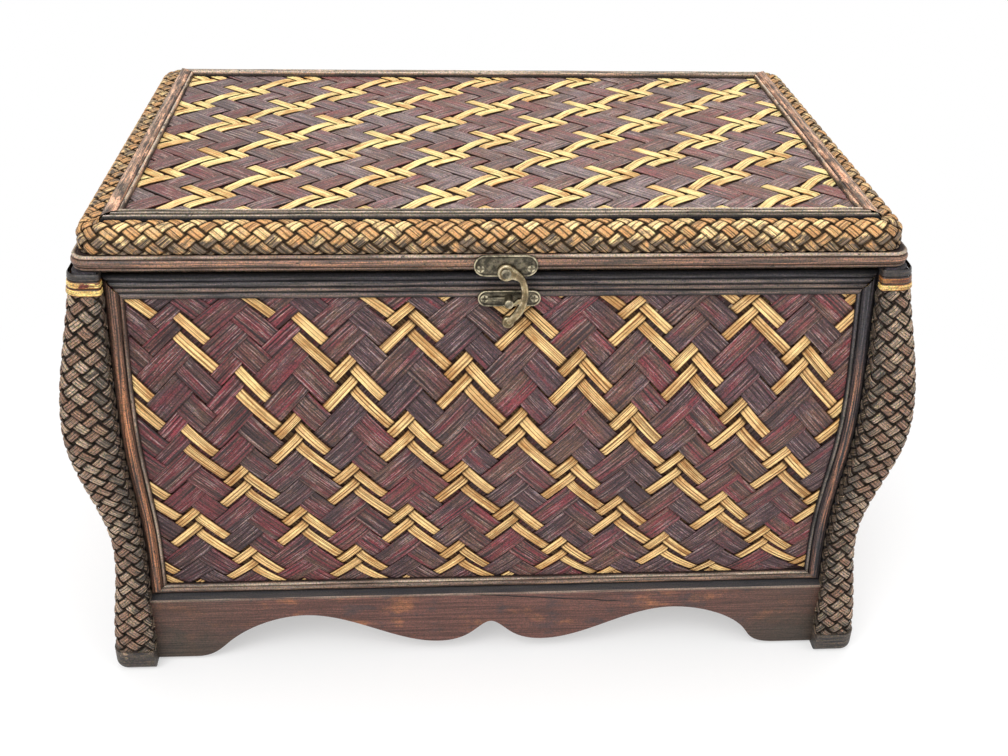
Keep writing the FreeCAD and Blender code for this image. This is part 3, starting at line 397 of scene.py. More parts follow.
class Fabric:
    """A woven fabric.

    origin is where a crossing lies, step_a and step_b lead from one repeat to the next, slots are the strips
    of one repeat, passes says which strip lies over at a crossing, and drift moves points off the even
    lattice."""

    def __init__(self, origin, step_a, step_b, slots, passes, drift=None):
        self.drift = drift or (lambda u, v: (u, v))
        self.overlap = DRIFT_REACH if drift else 0.0
        self.origin, self.steps = np.array(origin, float), (np.array(step_a, float), np.array(step_b, float))
        self.slots, self.passes = slots, passes
        self.cell = abs(step_a[0] * step_b[1] - step_a[1] * step_b[0])
        self.inverse = np.linalg.inv(np.stack(self.steps, 1))

    def spread(self, family):
        """Distance between strips a whole repeat apart, measured square across them."""
        return self.cell / np.linalg.norm(self.steps[1 - family])

    def shares(self, corners):
        """The fabric's own coordinates of points."""
        return (self.inverse @ (np.asarray(corners, float) - self.origin).T).T

    def side(self, family, number, other):
        """1 where a strip lies over a strip of the other direction, and -1 where it lies under it."""
        over = self.passes(number, other) if family == 0 else not self.passes(other, number)
        return 1.0 if over else -1.0

    def run(self, family, number, others, reach):
        """Stations along a strip, closer together where it changes sides, and how high it lies there."""
        stations, rises = [], []
        for other in others:
            repeat, slot = divmod(other, len(self.slots))
            edge, end = repeat + self.slots[slot][0], repeat + self.slots[slot][1]
            now, then = self.side(family, number, other), self.side(family, number, other - 1)
            if now == then:
                stations.append(edge)
                rises.append(now * 1.05)
            else:
                stations += [edge - reach, edge - 0.35 * reach, edge + 0.35 * reach, edge + reach]
                rises += [then, then + (now - then) * 0.25, then + (now - then) * 0.75, now]
            stations.append((edge + end) / 2)
            rises.append(now)
        order = np.argsort(stations)
        return np.array(stations)[order], np.array(rises)[order]


def weave(shell, place, box, hold, fabric, style, seed, flip=False):
    """Weaves the strips of both directions over a box of the surface.

    hold moves points outside the panel to its edge and says which were outside. style gives a strip's look:
    its width, fibres, form and marks."""
    chance = np.random.default_rng(seed)
    count = len(fabric.slots)
    start, end = np.array(box[::2]) - fabric.overlap, np.array(box[1::2]) + fabric.overlap
    shares = fabric.shares([(u, v) for u in (start[0], end[0]) for v in (start[1], end[1])])
    low, high = np.floor(shares.min(0)).astype(int) - 1, np.ceil(shares.max(0)).astype(int) + 1
    for family, way in ((0, 1), (1, 0)):
        step_side, step_way = fabric.steps[family], fabric.steps[way]
        spread, length = fabric.spread(family), np.linalg.norm(step_way)
        turned = (step_side[0] * step_way[1] - step_side[1] * step_way[0]) < 0
        for number in range(low[family] * count, high[family] * count):
            repeat, slot = divmod(number, count)
            look = style(fabric.slots[slot][2], family, number, chance)
            middle = repeat + sum(fabric.slots[slot][:2]) / 2 + chance.uniform(-1, 1) * look["stray"] / spread
            half = look["width"] / 2 / spread * (1 + chance.uniform(-0.06, 0.06))
            across, height, level = crosscut(look, chance)
            others = range(low[way] * count, high[way] * count)
            stations, rises = fabric.run(family, number, others, look["transition"] / length)
            path = fabric.origin + middle * step_side + stations[:, None] * step_way
            near = np.flatnonzero(((path > start - look["width"]) & (path < end + look["width"])).all(1))
            if len(near) < 2:
                continue
            stations, rises = stations[near[0]:near[-1] + 1], rises[near[0]:near[-1] + 1]
            phase, wave = chance.uniform(0, 2 * math.pi), chance.uniform(0.8, 1.6)
            sway = look["sway"] / spread * np.sin(stations * wave + phase)
            sway = sway - look["bow"] / spread * np.cos((stations - 0.56) * 2 * math.pi)
            sideways = middle + sway + half * across[:, None]
            spot = fabric.origin + sideways[..., None] * step_side + stations[:, None] * step_way
            u, v, outside = hold(*fabric.drift(spot[..., 0], spot[..., 1]))
            points = place(u, v, look["base"] + (look["relief"] * rises + height[:, None]))
            fibre = joined(stations * length + repeat * 17.3, half * spread * across[:, None] + number * 13.7)
            tint = chance.uniform() ** look["tint"]
            marks = joined(look["kind"](u, v), tint, rises * 0.5 + 0.5, level[:, None])
            # the parts of the strip inside the panel, with one station more at each end
            keep = ~outside.all(0)
            keep = keep | np.roll(keep, 1) | np.roll(keep, -1)
            keep[0] = keep[0] and keep[min(1, len(keep) - 1)]
            for part in np.split(np.arange(len(keep)), np.flatnonzero(~keep)):
                part = part[keep[part]]
                if len(part) > 1:
                    shell.grid(points[:, part], fibre[:, part], marks[:, part], flip=turned == flip)


def noise_along(length, count, seed, swing):
    """A slow hand-made unevenness along a strip, as an array."""
    chance = np.random.default_rng(seed)
    at = np.linspace(0, length, count)
    wave = np.zeros(count)
    for size in (90.0, 41.0, 19.0):
        wave += np.sin(at / size * 2 * math.pi + chance.uniform(0, 2 * math.pi)) * size / 90
    return wave * swing


def bar(shell, place, profile, start, end, step, seed, flip=False, swing=0.10, worn=lambda along: 1.0):
    """A moulding of ridges and grooves with slanting ends.

    profile holds points (share across, height, wear, light, shade); start and end give where the bar begins
    and ends along its way for a share across, and worn how much of the wear shows along it."""
    across, height, wear, light, shade = np.array(profile, float).T[:, :, None]
    first, last = start(across), end(across)
    length = float(np.max(last) - np.min(first))
    count = max(2, int(length / step))
    along = first + (last - first) * np.linspace(0, 1, count)
    sway = noise_along(length, count, seed, swing) * (height > 0.5 * height.max())
    points = place(across, along, height + sway)
    bare = worn(along)
    run = np.cumsum(np.hypot(np.diff(across, axis=0) * 10.0, np.diff(height, axis=0)), axis=0)
    fibre = joined(along + seed * 31.7, np.concatenate([[[0.0]], run]))
    shell.grid(points, fibre, joined(wear * bare, light * bare, shade, (seed * 0.37) % 1.0), flip=flip)


# Materials

WHITE = (1.0, 1.0, 1.0, 1.0)
PAPER = (0.97, 0.97, 0.97, 1.0)

# Colours of painted shade and shadow, and of spots and cracks, as light.
RED_SHADOW = (0.020, 0.005, 0.006, 1.0)
REED_SHADE = (0.017, 0.0075, 0.005, 1.0)
POST_CREVICE_SHADE = (0.022, 0.017, 0.014, 1.0)
LID_CREVICE_SHADE = (0.042, 0.028, 0.018, 1.0)
WOOD_SPOT = (0.01, 0.008, 0.007, 1.0)
MOULDING_SHADE = (0.011, 0.010, 0.011, 1.0)
BINDING_SHADE = (0.012, 0.008, 0.006, 1.0)
SLATE = (0.050, 0.052, 0.058, 1.0)
BLACK = (0.006, 0.006, 0.006, 1.0)
CRACK = (0.004, 0.003, 0.003, 1.0)


class Value:
    """A node's result; arithmetic with it adds nodes."""

    def __init__(self, nodes, socket):
        self.nodes, self.socket = nodes, socket

    def __add__(self, other):
        return self.nodes.math("ADD", self, other)

    def __sub__(self, other):
        return self.nodes.math("SUBTRACT", self, other)

    def __rsub__(self, other):
        return self.nodes.math("SUBTRACT", other, self)

    def __mul__(self, other):
        return self.nodes.math("MULTIPLY", self, other)

    def __abs__(self):
        return self.nodes.math("ABSOLUTE", self, 0.0)

    def held(self):
        """The value held between zero and one."""
        return self.nodes.value("ShaderNodeClamp", {0: self})

    def ramp(self, low, high):
        """How far the value is from low to high, smoothly from zero to one."""
        return self.nodes.value("ShaderNodeMapRange", {"Value": self, "From Min": low, "From Max": high},
                                interpolation_type="SMOOTHSTEP")

    def over(self, first, second):
        """The number that lies this share of the way from the first to the second."""
        return self * (second - first) + first


class Nodes:
    """A node tree under construction."""

    def __init__(self, tree):
        self.tree = tree

    def node(self, kind, inputs=(), **settings):
        """A node with its settings and inputs; an input is a number, a colour or another node's result."""
        node = self.tree.nodes.new(kind)
        for name, value in settings.items():
            setattr(node, name, value)
        for name, value in dict(inputs).items():
            self.put(node.inputs[name], value)
        return node

    def put(self, socket, value):
        """Sets a socket, or links it."""
        if isinstance(value, Value):
            self.tree.links.new(value.socket, socket)
        else:
            socket.default_value = value

    def value(self, kind, inputs=(), output=0, **settings):
        """A new node's result."""
        return Value(self, self.node(kind, inputs, **settings).outputs[output])

    def math(self, operation, first, second):
        """Two numbers put together."""
        return self.value("ShaderNodeMath", {0: first, 1: second}, operation=operation)

    def vector(self, operation, first, second):
        """Two vectors put together."""
        return self.value("ShaderNodeVectorMath", {0: first, 1: second}, operation=operation)

    def mix(self, share, first, second, blend="MIX"):
        """Two colours mixed."""
        return self.value("ShaderNodeMix", {0: share, 6: first, 7: second}, 2, data_type="RGBA",
                          blend_type=blend, clamp_factor=True)


class Finish(Nodes):
    """A procedural material under construction."""

    def __init__(self, name):
        self.material = bpy.data.materials.new(name)
        self.material.use_nodes = True
        super().__init__(self.material.node_tree)
        self.shader = self.tree.nodes["Principled BSDF"]

    def tones(self, share, name, low, high):
        """A colour of the settings between two strengths."""
        return self.mix(share, colour(name, low), colour(name, high))

    def marks(self):
        """The four marks of the mesh."""
        node = self.node("ShaderNodeAttribute", attribute_name="marks")
        split = self.node("ShaderNodeSeparateColor", {0: Value(self, node.outputs["Color"])})
        return [Value(self, socket) for socket in (*split.outputs[:3], node.outputs["Alpha"])]

    def spot(self, axis):
        """The place in the object along an axis, in metres."""
        place = self.value("ShaderNodeTexCoord", output="Object")
        return self.value("ShaderNodeSeparateXYZ", {0: place}, axis)

    def noise(self, vector, detail, roughness, distortion=0.0):
        """Cloudy noise at a vector: one number, and a colour of three."""
        node = self.node("ShaderNodeTexNoise", {"Vector": vector, "Scale": 1.0, "Detail": detail,
                                                "Roughness": roughness, "Distortion": distortion})
        return Value(self, node.outputs[0]), Value(self, node.outputs[1])

    def strands(self, along, across, shift, detail, roughness):
        """Noise that is drawn out along the fibres, in cycles per metre along and across them."""
        scaled = self.vector("MULTIPLY", self.value("ShaderNodeUVMap", uv_map="fibre"), (along, across, 0.0))
        vector = self.vector("ADD", scaled, (shift, shift * 0.7, shift * 1.3))
        return self.noise(vector, detail, roughness)[0]

    def place(self, scale, shift):
        """Coordinates in the object's own space, in cycles per metre along each axis."""
        spot = self.value("ShaderNodeTexCoord", output="Object")
        return self.vector("ADD", self.vector("MULTIPLY", spot, np.broadcast_to(scale, 3)), (shift,) * 3)

    def clouds(self, scale, shift, detail, roughness, distortion=0.0):
        """Noise in the object's own space."""
        return self.noise(self.place(scale, shift), detail, roughness, distortion)[0]

    def bump(self, height, distance):
        """Sets the surface's relief, in metres."""
        node = self.value("ShaderNodeBump", {"Height": height, "Distance": distance, "Strength": 1.0})
        self.put(self.shader.inputs["Normal"], node)

    def done(self, base, roughness, metallic=0.0, specular=0.5, speckle=0.5):
        """Finishes the material, with the fine specks of dust and wear that every surface has."""
        light, tints = self.noise(self.place(1150.0, 8.0), 1.0, 0.6)
        tints = self.vector("MULTIPLY", self.vector("SUBTRACT", tints, (0.5, 0.5, 0.5)), (1.6, 0.8, 2.2))
        specks = self.vector("ADD", tints, (light - 0.5) * 4.0)
        specks = self.value("ShaderNodeVectorMath", {0: specks, "Scale": speckle}, operation="SCALE")
        base = self.mix(1.0, base, self.vector("ADD", specks, (1.0, 1.0, 1.0)), "MULTIPLY")
        for name, value in (("Base Color", base), ("Roughness", roughness), ("Metallic", metallic),
                            ("Specular IOR Level", specular)):
            self.put(self.shader.inputs[name], value)


def reed_finish(f, stain, lights, redness, bright, lined):
    """Flat reed: dark, red or yellow strips of fine fibres, with painted shade in their grooves and where
    they go under.

    stain and lights name the broad reeds' colours; redness and bright say how red they turn and how light the
    yellow is, and lined how dark the lines between the yellow fibres are."""
    kind, chance, rise, level = f.marks()
    fine = f.strands(55.0, 1500.0, 0.0, 2.0, 0.6)
    lines = f.strands(12.0, 1700.0, 6.6, 1.0, 0.5)
    fibres = f.strands(20.0, 760.0, 3.1, 1.0, 0.5)
    cloud = f.strands(60.0, 110.0, 9.7, 4.0, 0.62)
    patch = f.strands(16.0, 210.0, 5.9, 2.0, 0.5)
    hue = f.clouds(45.0, 2.7, 3.0, 0.6)
    west = f.spot(0).ramp(0.02, -0.19)
    golden = kind.ramp(0.6, 0.85)
    # the broad reeds
    plain = f.mix((hue + chance * 0.3).ramp(0.50, 0.78), colour(stain, 0.8), colour("brown_reed", bright))
    dark = f.mix(fibres.ramp(0.33, 0.50), colour(stain, 0.30), plain)
    dark = f.mix(fine.ramp(0.41, 0.50), f.mix(0.6, dark, colour(stain, 0.12)), dark)
    stained = ((chance * 0.22 + (patch + west * 0.05)).ramp(0.55, 0.80) * redness).held()
    dark = f.mix(stained * fibres.ramp(0.38, 0.52), dark, colour("red_reed", 0.80 * bright ** 2.0))
    # painted shadow: the broad reeds darken towards the trunk's left end
    dark = f.mix(west * 0.30, dark, RED_SHADOW)
    worn = fine.ramp(0.535, 0.60) * (fibres * 0.5 + cloud * 0.5).ramp(0.44, 0.56)
    dark = f.mix(worn * 0.52, dark, colour(lights, 0.85))
    # the fine reeds that are stained
    red = f.tones(fibres.ramp(0.42, 0.52), "red_reed", 0.14, 0.9)
    red = f.mix(patch.ramp(0.44, 0.60), f.mix(0.7, red, dark), red)
    red = f.mix(worn * 0.6, red, colour(lights, 0.75))
    # the yellow ones
    yellow = f.tones(fibres.ramp(0.38, 0.58), "yellow_reed", 0.86 * bright, 1.2 * bright)
    yellow = f.mix(fine.ramp(0.52, 0.62) * cloud.ramp(0.40, 0.60), yellow, colour("orange_reed", 0.95))
    yellow = f.mix(lines.ramp(0.44, 0.38) * lined, yellow, colour("orange_reed", 0.25))
    yellow = f.mix((chance * 0.2 + cloud).ramp(0.60, 0.80) * 0.6, yellow, colour("orange_reed", 0.6 * bright))
    base = f.mix(golden, f.mix(kind.ramp(0.2, 0.45), dark, red), yellow)
    # painted shade: each float darker towards its ends than on its crest, and darker in the grooves and where
    # a reed goes under
    low = (1.0 - rise.ramp(0.985, 1.02)) * golden.over(0.24, 0.34)
    base = f.mix(low, base, f.mix(golden, colour(stain, 0.22), colour("orange_reed", 0.55)))
    sunk = (1.0 - level.ramp(0.25, 0.98)) * golden.over(0.42, lined)
    grooves = level.ramp(0.02, 0.19) * (1.0 - sunk)
    under = rise.ramp(0.15, 0.80)
    depth = 0.55 + 0.35 * lined
    dirt_and_shade = (grooves * depth + (1.0 - depth)) * under.over(0.38 - kind * 0.30, 1.0)
    base = f.mix(dirt_and_shade, f.mix(golden * under, REED_SHADE, colour("orange_reed", 0.13)), base)
    f.bump(fine * 0.7 + fibres * 0.8, 0.0006)
    f.done(base, cloud * 0.3 + 0.32, specular=dirt_and_shade.held() * 0.40 + 0.05, speckle=golden.over(0.5, 0.15))


def braid_finish(f, tan, brown, grime_and_shade, light, lined, speckle, patchy, crevice_shade):
    """Flat strips of a braid: light floats with painted shade where they go under and at their edges.

    lined says how light the lines between the fibres are, patchy how much the dirty patches vary, and the
    last argument is the colour of the painted shade at the strips' edges and where they go under."""
    kind, chance, rise, level = f.marks()
    fine = f.strands(45.0, 1500.0, 0.0, 2.0, 0.6)
    fibres = f.strands(40.0, 900.0, 2.2, 2.0, 0.55)
    cloud = f.strands(150.0, 190.0, 5.3, 4.0, 0.65)
    lines = fibres.ramp(0.38, 0.52)
    clean = f.tones(lines, tan, lined * light, 0.85 * light)
    clean = f.mix(fine.ramp(0.53, 0.60), clean, colour(tan, 1.3 * light))
    deep = f.tones(lines, brown, lined * 0.8, 0.9 * light)
    deep = f.mix(fine.ramp(0.54, 0.62) * 0.6, deep, colour(tan, 0.95))
    warm = f.mix((chance * 0.7 + cloud * 0.6).ramp(0.46, 0.80), clean, deep)
    # the shaded colour: painted shade from the marks, mixed with dirty patches
    shaded = f.mix(fine.ramp(0.53, 0.62) * 0.7, f.tones(lines, grime_and_shade, 0.16, 0.80), colour(tan, 0.8))
    dirt_and_shade = kind * 1.2 + (cloud - 0.5) * patchy + (chance - 0.5) * 0.6
    # painted shade at the strips' edges, in their grooves and where they go under
    bare = (level.ramp(0.2, 1.0) * 0.82 + 0.18) * (rise.ramp(0.30, 0.96) * 0.94 + 0.06)
    f.bump(fine * 0.7 + fibres * 0.7, 0.0005)
    f.done(f.mix(bare, crevice_shade, f.mix(dirt_and_shade.ramp(0.15, 1.00), shaded, warm)), cloud * 0.3 + 0.34,
           specular=bare * 0.45, speckle=speckle)


def ridged_finish(f, wood, strength=1.0, mottled=0.0):
    """A stained moulding: painted shade in the grooves, worn ridges, pale lines with painted highlights;
    mottled says how much of it flakes.
    """
    wear, light, shade, chance = f.marks()
    grain = f.strands(24.0, 1150.0, 0.0, 3.0, 0.65)
    patch = f.strands(20.0, 160.0, 2.3, 4.0, 0.6)
    spots = f.strands(260.0, 420.0, 7.1, 3.0, 0.6)
    base = f.tones(grain.ramp(0.40, 0.62), wood, 0.30 * strength, 1.55 * strength)
    rubbed = wear * (patch + (grain - 0.5) * 0.9 + (chance - 0.5) * 0.22).ramp(0.42, 0.66)
    base = f.mix(rubbed * 0.9, base, f.tones(grain.ramp(0.42, 0.62), "worn_wood", 0.35, 1.1))
    # pale worn lines and painted highlights along the ridge crests, from the light mark
    base = f.mix(light * (patch.ramp(0.38, 0.62) * 0.75 + 0.12), base, colour("pale_wear_and_highlight", 0.85))
    if mottled:
        flakes = f.strands(58.0, 300.0, 12.4, 4.0, 0.72)
        pale = f.mix(0.5, colour("pale_wear_and_highlight", 1.1), colour("worn_wood", 1.5))
        base = f.mix(flakes.ramp(0.52, 0.60) * mottled, base, pale)
        base = f.mix(flakes.ramp(0.47, 0.40) * mottled, base, colour(wood, 0.16))
    base = f.mix(spots.ramp(0.64, 0.70), base, f.mix(0.8, base, WOOD_SPOT))
    f.bump(grain * 0.6 + spots * 0.4, 0.0005)
    # painted shade from the shade mark: the grooves, the edges and the shadow under the lid's rail
    f.done(f.mix(shade, base, MOULDING_SHADE), patch * 0.3 + 0.28, specular=0.5 - shade * 0.47)


def binding_finish(f):
    """The bright bindings: fine yellow fibres with red edges, and painted shade at their edges and between
    their fibres.
    """
    kind, _, shade, _ = f.marks()
    fine = f.strands(70.0, 2200.0, 0.0, 4.0, 0.6)
    patch = f.strands(130.0, 260.0, 4.4, 3.0, 0.6)
    yellow = f.mix(fine.ramp(0.42, 0.60), colour("binding", 1.25), colour("orange_reed", 0.6))
    red = f.mix(fine.ramp(0.35, 0.65), colour("binding_edge", 0.4), colour("orange_reed", 0.75))
    dark = f.mix(fine.ramp(0.4, 0.7), colour("dark_wood", 0.5), colour("grey_braid", 0.8))
    base = f.mix(kind.ramp(0.6, 0.8), f.mix(kind.ramp(0.25, 0.45), dark, red), yellow)
    base = f.mix(patch.ramp(0.56, 0.68) * kind.ramp(0.3, 0.9), base, colour("binding_edge", 0.55))
    f.bump(fine, 0.0003)
    # painted shade from the shade mark, at the bands' edges and in the dip between their fibres
    f.done(f.mix(shade, base, BINDING_SHADE), 0.36)


def plain_wood_finish(f, wood, strength, scale=(40.0, 900.0, 900.0)):
    """Planed wood with grain along one way, for the boards and posts."""
    grain = f.clouds(scale, 0.0, 5.0, 0.65, 0.6)
    cloud = f.clouds(18.0, 4.0, 4.0, 0.6)
    base = f.tones(grain.ramp(0.34, 0.68), wood, 0.55 * strength, 1.25 * strength)
    f.bump(grain, 0.0003)
    base = f.mix(cloud.ramp(0.45, 0.75), base, colour(wood, 0.45 * strength))
    f.done(base, cloud * 0.2 + 0.45, specular=0.35)


def apron_finish(f, along_x):
    """The aprons: red-brown wood, dark and worn towards its lower ends."""
    grain = f.clouds((26.0, 300.0, 1500.0) if along_x else (300.0, 26.0, 1500.0), 0.0, 5.0, 0.65, 0.4)
    cloud = f.clouds((38.0, 38.0, 60.0), 4.0, 4.0, 0.62)
    spots = f.clouds(260.0, 1.0, 3.0, 0.6)
    blot = f.clouds((70.0, 70.0, 130.0), 9.0, 4.0, 0.65)
    x, z = f.spot(0 if along_x else 1), f.spot(2)
    middle, end = (0.11, 0.19) if along_x else (0.06, 0.105)
    base = f.tones(grain.ramp(0.38, 0.64), "apron_wood", 0.62, 1.35)
    base = f.mix(blot.ramp(0.52, 0.68) * 0.55, base, colour("dark_wood", 0.9))
    worn = f.tones(grain.ramp(0.42, 0.66), "worn_wood", 0.35, 0.75)
    base = f.mix(cloud.ramp(0.52, 0.68) * 0.55, base, worn)
    far = abs(x).ramp(middle, end)
    base = f.mix(far * 0.7, base, f.tones(grain.ramp(0.4, 0.65), "brown_wood", 0.5, 1.0))
    low = (z + (blot - 0.5) * 0.05).ramp(0.030, 0.012)
    base = f.mix(far * low * 0.85, base, f.tones(grain.ramp(0.4, 0.65), "grey_braid", 0.28, 0.62))
    # a pale line along the top edge, then painted shade under the bottom rail: a slate band, black at the top
    base = f.mix(z.ramp(0.0445, 0.0462) * grain.ramp(0.35, 0.6) * 0.5, base, colour("pale_wear_and_highlight", 0.7))
    base = f.mix(z.ramp(0.0466, 0.0471), base, SLATE)
    base = f.mix(z.ramp(0.0490, 0.0496), base, BLACK)
    height = grain * 0.5 + spots * 0.3
    if along_x:
        # a crack that runs slantwise through the front's right half
        line = z - (x * -0.085 + 0.0445) + (cloud - 0.5) * 0.004
        span = x.ramp(-0.012, -0.004) * x.ramp(0.082, 0.072)
        crack = abs(line).ramp(0.0006, 0.0001) * span * f.spot(1).ramp(-0.1, -0.13)
        base = f.mix(crack, base, CRACK)
        height = height - crack * 2.0
    f.bump(height, 0.0005)
    f.done(base, cloud * 0.25 + 0.38, specular=0.4, speckle=0.3)


def foot_finish(f):
    """The bound feet: dark grey wrapping with rubbed, pale places near the top."""
    wrap = f.clouds((60.0, 60.0, 1100.0), 0.0, 4.0, 0.6)
    cloud = f.clouds((120.0, 120.0, 160.0), 3.0, 4.0, 0.65)
    base = f.mix(wrap.ramp(0.38, 0.62), colour("dark_wood", 0.45), colour("grey_braid", 0.85))
    rubbed = f.spot(2).ramp(0.007, 0.0125) * cloud.ramp(0.55, 0.62) * 0.7
    f.bump(wrap + cloud * 0.5, 0.0006)
    f.done(f.mix(rubbed, base, colour("tan_braid", 0.8)), 0.52, specular=0.4)


def brass_finish(f, brass="dull_brass", strength=1.0, marked=True):
    """Antique brass: dark pits, painted shade in the hollows, dull faces, and bright rubbed edges with
    painted highlights.
    """
    cloud = f.clouds(260.0, 2.0, 3.0, 0.55)
    pits = f.clouds(1300.0, 6.0, 2.0, 0.6)
    base = f.tones(cloud.ramp(0.38, 0.62), brass, 0.15 * strength ** 1.8, 0.58 * strength ** 0.6)
    base = f.mix(pits.ramp(0.56, 0.66) * 0.6, base, colour("brass_shade", 1.2))
    if marked:
        _, light, shade, _ = f.marks()
        # painted highlights on the rims and edges, partly rubbed brass, and painted shade in the hollows from
        # the marks
        base = f.mix(light * (cloud.ramp(0.40, 0.62) * 0.75 + 0.15), base, colour("brass_light", 0.9))
        base = f.mix(shade, base, colour("brass_shade", 0.35))
    f.bump(cloud + pits * 0.6, 0.0001)
    f.done(base, cloud * 0.2 + 0.24, metallic=0.7, specular=0.6, speckle=0.2)


def floor_finish(f):
    """The pale floor, which turns into the white backdrop away from the trunk."""
    f.tree.nodes.remove(f.shader)
    reach = f.value("ShaderNodeVectorMath", {0: f.value("ShaderNodeTexCoord", output="Object")}, "Value",
                    operation="LENGTH")
    path = f.node("ShaderNodeLightPath")
    direct, mirrored, through = (Value(f, path.outputs[f"Is {ray} Ray"])
                                 for ray in ("Camera", "Glossy", "Transmission"))
    seen = (direct + (mirrored + through)).held()
    both = f.value("ShaderNodeMixShader", {
        0: (reach.ramp(0.22, 0.50) * 0.55 + 0.45) * seen,
        1: f.value("ShaderNodeBsdfDiffuse", {"Color": PAPER}),
        2: f.value("ShaderNodeEmission", {"Color": WHITE, "Strength": 1.0}),
    })
    f.put(f.tree.nodes["Material Output"].inputs["Surface"], both)


# Each material's name, how it is made and what with.
MAKERS = {
    "woven_reed": (reed_finish, "dark_reed", "grey_reed", 0.95, 1.0, 0.85),
    "woven_reed_faded": (reed_finish, "faded_reed", "faded_light", 0.45, 1.26, 0.45),
    "post_braid": (braid_finish, "tan_braid", "brown_braid", "grey_braid", 0.98, 0.50, 0.6, 3.0, POST_CREVICE_SHADE),
    "lid_braid": (braid_finish, "gold_braid", "amber_braid", "umber_braid", 1.25, 0.62, 0.3, 4.2, LID_CREVICE_SHADE),
    "stile_wood": (ridged_finish, "brown_wood", 1.3),
    "dark_stile_wood": (ridged_finish, "dark_wood", 1.15),
    "rail_wood": (ridged_finish, "dark_wood"),
    "moulding_wood": (ridged_finish, "brown_wood"),
    "lid_side_wood": (ridged_finish, "side_wood", 1.1, 0.9),
    "lid_rail_wood": (ridged_finish, "brown_wood", 1.25),
    "lid_moulding_wood": (ridged_finish, "weathered_wood", 0.8),
    "yellow_binding": (binding_finish,),
    "apron_wood_x": (apron_finish, True),
    "apron_wood_y": (apron_finish, False),
    "foot_binding": (foot_finish,),
    "post_core": (plain_wood_finish, "dark_wood", 1.5, (700.0, 700.0, 40.0)),
    "inner_board_x": (plain_wood_finish, "tan_braid", 0.7),
    "inner_board_y": (plain_wood_finish, "tan_braid", 0.7, (900.0, 40.0, 900.0)),
    "floor_board": (plain_wood_finish, "tan_braid", 0.6),
    "lid_frame_wood": (plain_wood_finish, "brown_wood", 0.8),
    "antique_brass": (brass_finish,),
    "hook_brass": (brass_finish, "brass", 1.7),
    "hinge_brass": (brass_finish, "dull_brass", 1.0, False),
    "studio_floor": (floor_finish,),
}
FINISHES = {}


def finish(name):
    """The material of that name, made when it is first asked for."""
    if name not in FINISHES:
        made = Finish(name)
        maker, *values = MAKERS[name]
        maker(made, *values)
        FINISHES[name] = made.material
    return FINISHES[name]


# Fabrics

FINE, BROAD = "fine", "broad"
# The strips of one repeat: where each begins and ends, as shares of the repeat, and its kind.
REPEAT = (
    (0.0, 14 / 75, FINE),
    (14 / 75, 28 / 75, FINE),
    (28 / 75, 51.5 / 75, BROAD),
    (51.5 / 75, 1.0, BROAD),
)
BRAID_REPEAT = ((0.0, 0.5, BROAD), (0.5, 1.0, BROAD))

# How a fine strip is coloured.
YELLOW = 1.0
STAINED = 0.45

# Where two yellow pairs cross, across and up or along the panel, and the steps from there to the next knots.
WALL_KNOT = (11.9, 230.9)
WALL_STEPS = (30.38, 32.75)
LID_KNOT = (-83.57, -146.02)
LID_STEPS = (28.69, 31.26)
LID_PANEL = (-117.5, 117.5, -192.5, 192.5)

# A post braid's steps and strip width and a lid braid's, as shares of the distance between strips.
POST_STEP_SHARES = (2 * 0.776, 2 * 0.657)
POST_STRIP_SHARE = 0.69
LID_RISE_SHARE = 2 * 0.86
LID_STRIP_SHARE = 0.97

# How deep the sheets of painted shade lie behind the weaves and braids.
WALL_BACKING = -1.42
LID_BACKING = -1.15
BRAID_BACKING = -1.5


def twill(i, j):
    """Whether the strip of the first direction passes over in the two-over-two twill."""
    return (i + j) % 4 in (2, 3)


def plain(i, j):
    """Whether the strip of the first direction passes over in the plain weave."""
    return (i + j) % 2 == 0


def hand_drift(u, v):
    """How the front's hand-laid reeds stray from an even lattice: they climb to the right and crowd below."""
    across, up = u / 200, (v - 150) / 100
    along = -0.2 + 0.15 * across + 1.96 * up
    rise = -2.25 + 4.56 * across + 9.13 * up + 4.45 * across ** 2 + 2.93 * up ** 2 - 15.5 * up ** 3
    return u + along, v + rise


def panel_fabric(knot, across, up, drift=None):
    """The panels' fabric: fine yellow pairs and broad dark pairs in both directions, crossing at a knot."""
    start = np.array(knot) - 2 * REPEAT[0][1] * np.array([across, 0.0])
    return Fabric(start, (across, up), (across, -up), REPEAT, twill, drift)


def panel_style(yellow, bow, broad, relief):
    """The look of a panel's strips; yellow says which fine strips are yellow rather than stained."""
    own = sizes()

    def style(kind, family, number, chance):
        fine = kind == FINE
        share = yellow(family, number, chance) if fine else 0.0
        return {
            "width": (5.7 if share == YELLOW else 8.1) if fine else broad,
            "fibres": 3 if fine else 5,
            "thickness": own["reed_thickness"],
            "crown": 0.12 if fine else 0.16,
            "groove": own["groove_depth"] * (1.35 if fine else 0.45),
            "stray": 0.3 if fine else 0.25,
            "sway": 0.25,
            "bow": bow if fine and family == 0 else 0.0,
            "relief": own["reed_relief"] * relief,
            "transition": own["reed_transition"],
            "base": -0.62,
            "tint": 1.0,
            "kind": lambda u, v: share,
        }
    return style


def braid_style(fibres, width, shade, base):
    """The look of a braid's strips; shade gives how much painted shade darkens them over the surface."""
    own = sizes()

    def style(kind, family, number, chance):
        return {
            "width": width * chance.uniform(0.92, 1.06),
            "fibres": fibres,
            "thickness": own["braid_thickness"],
            "crown": 0.34,
            "groove": 0.10,
            "stray": 0.4,
            "sway": 0.2,
            "bow": 0.0,
            "relief": 0.5,
            "transition": 1.1,
            "base": base,
            "tint": 0.55 if family == 0 else 1.7,
            "kind": shade,
        }
    return style


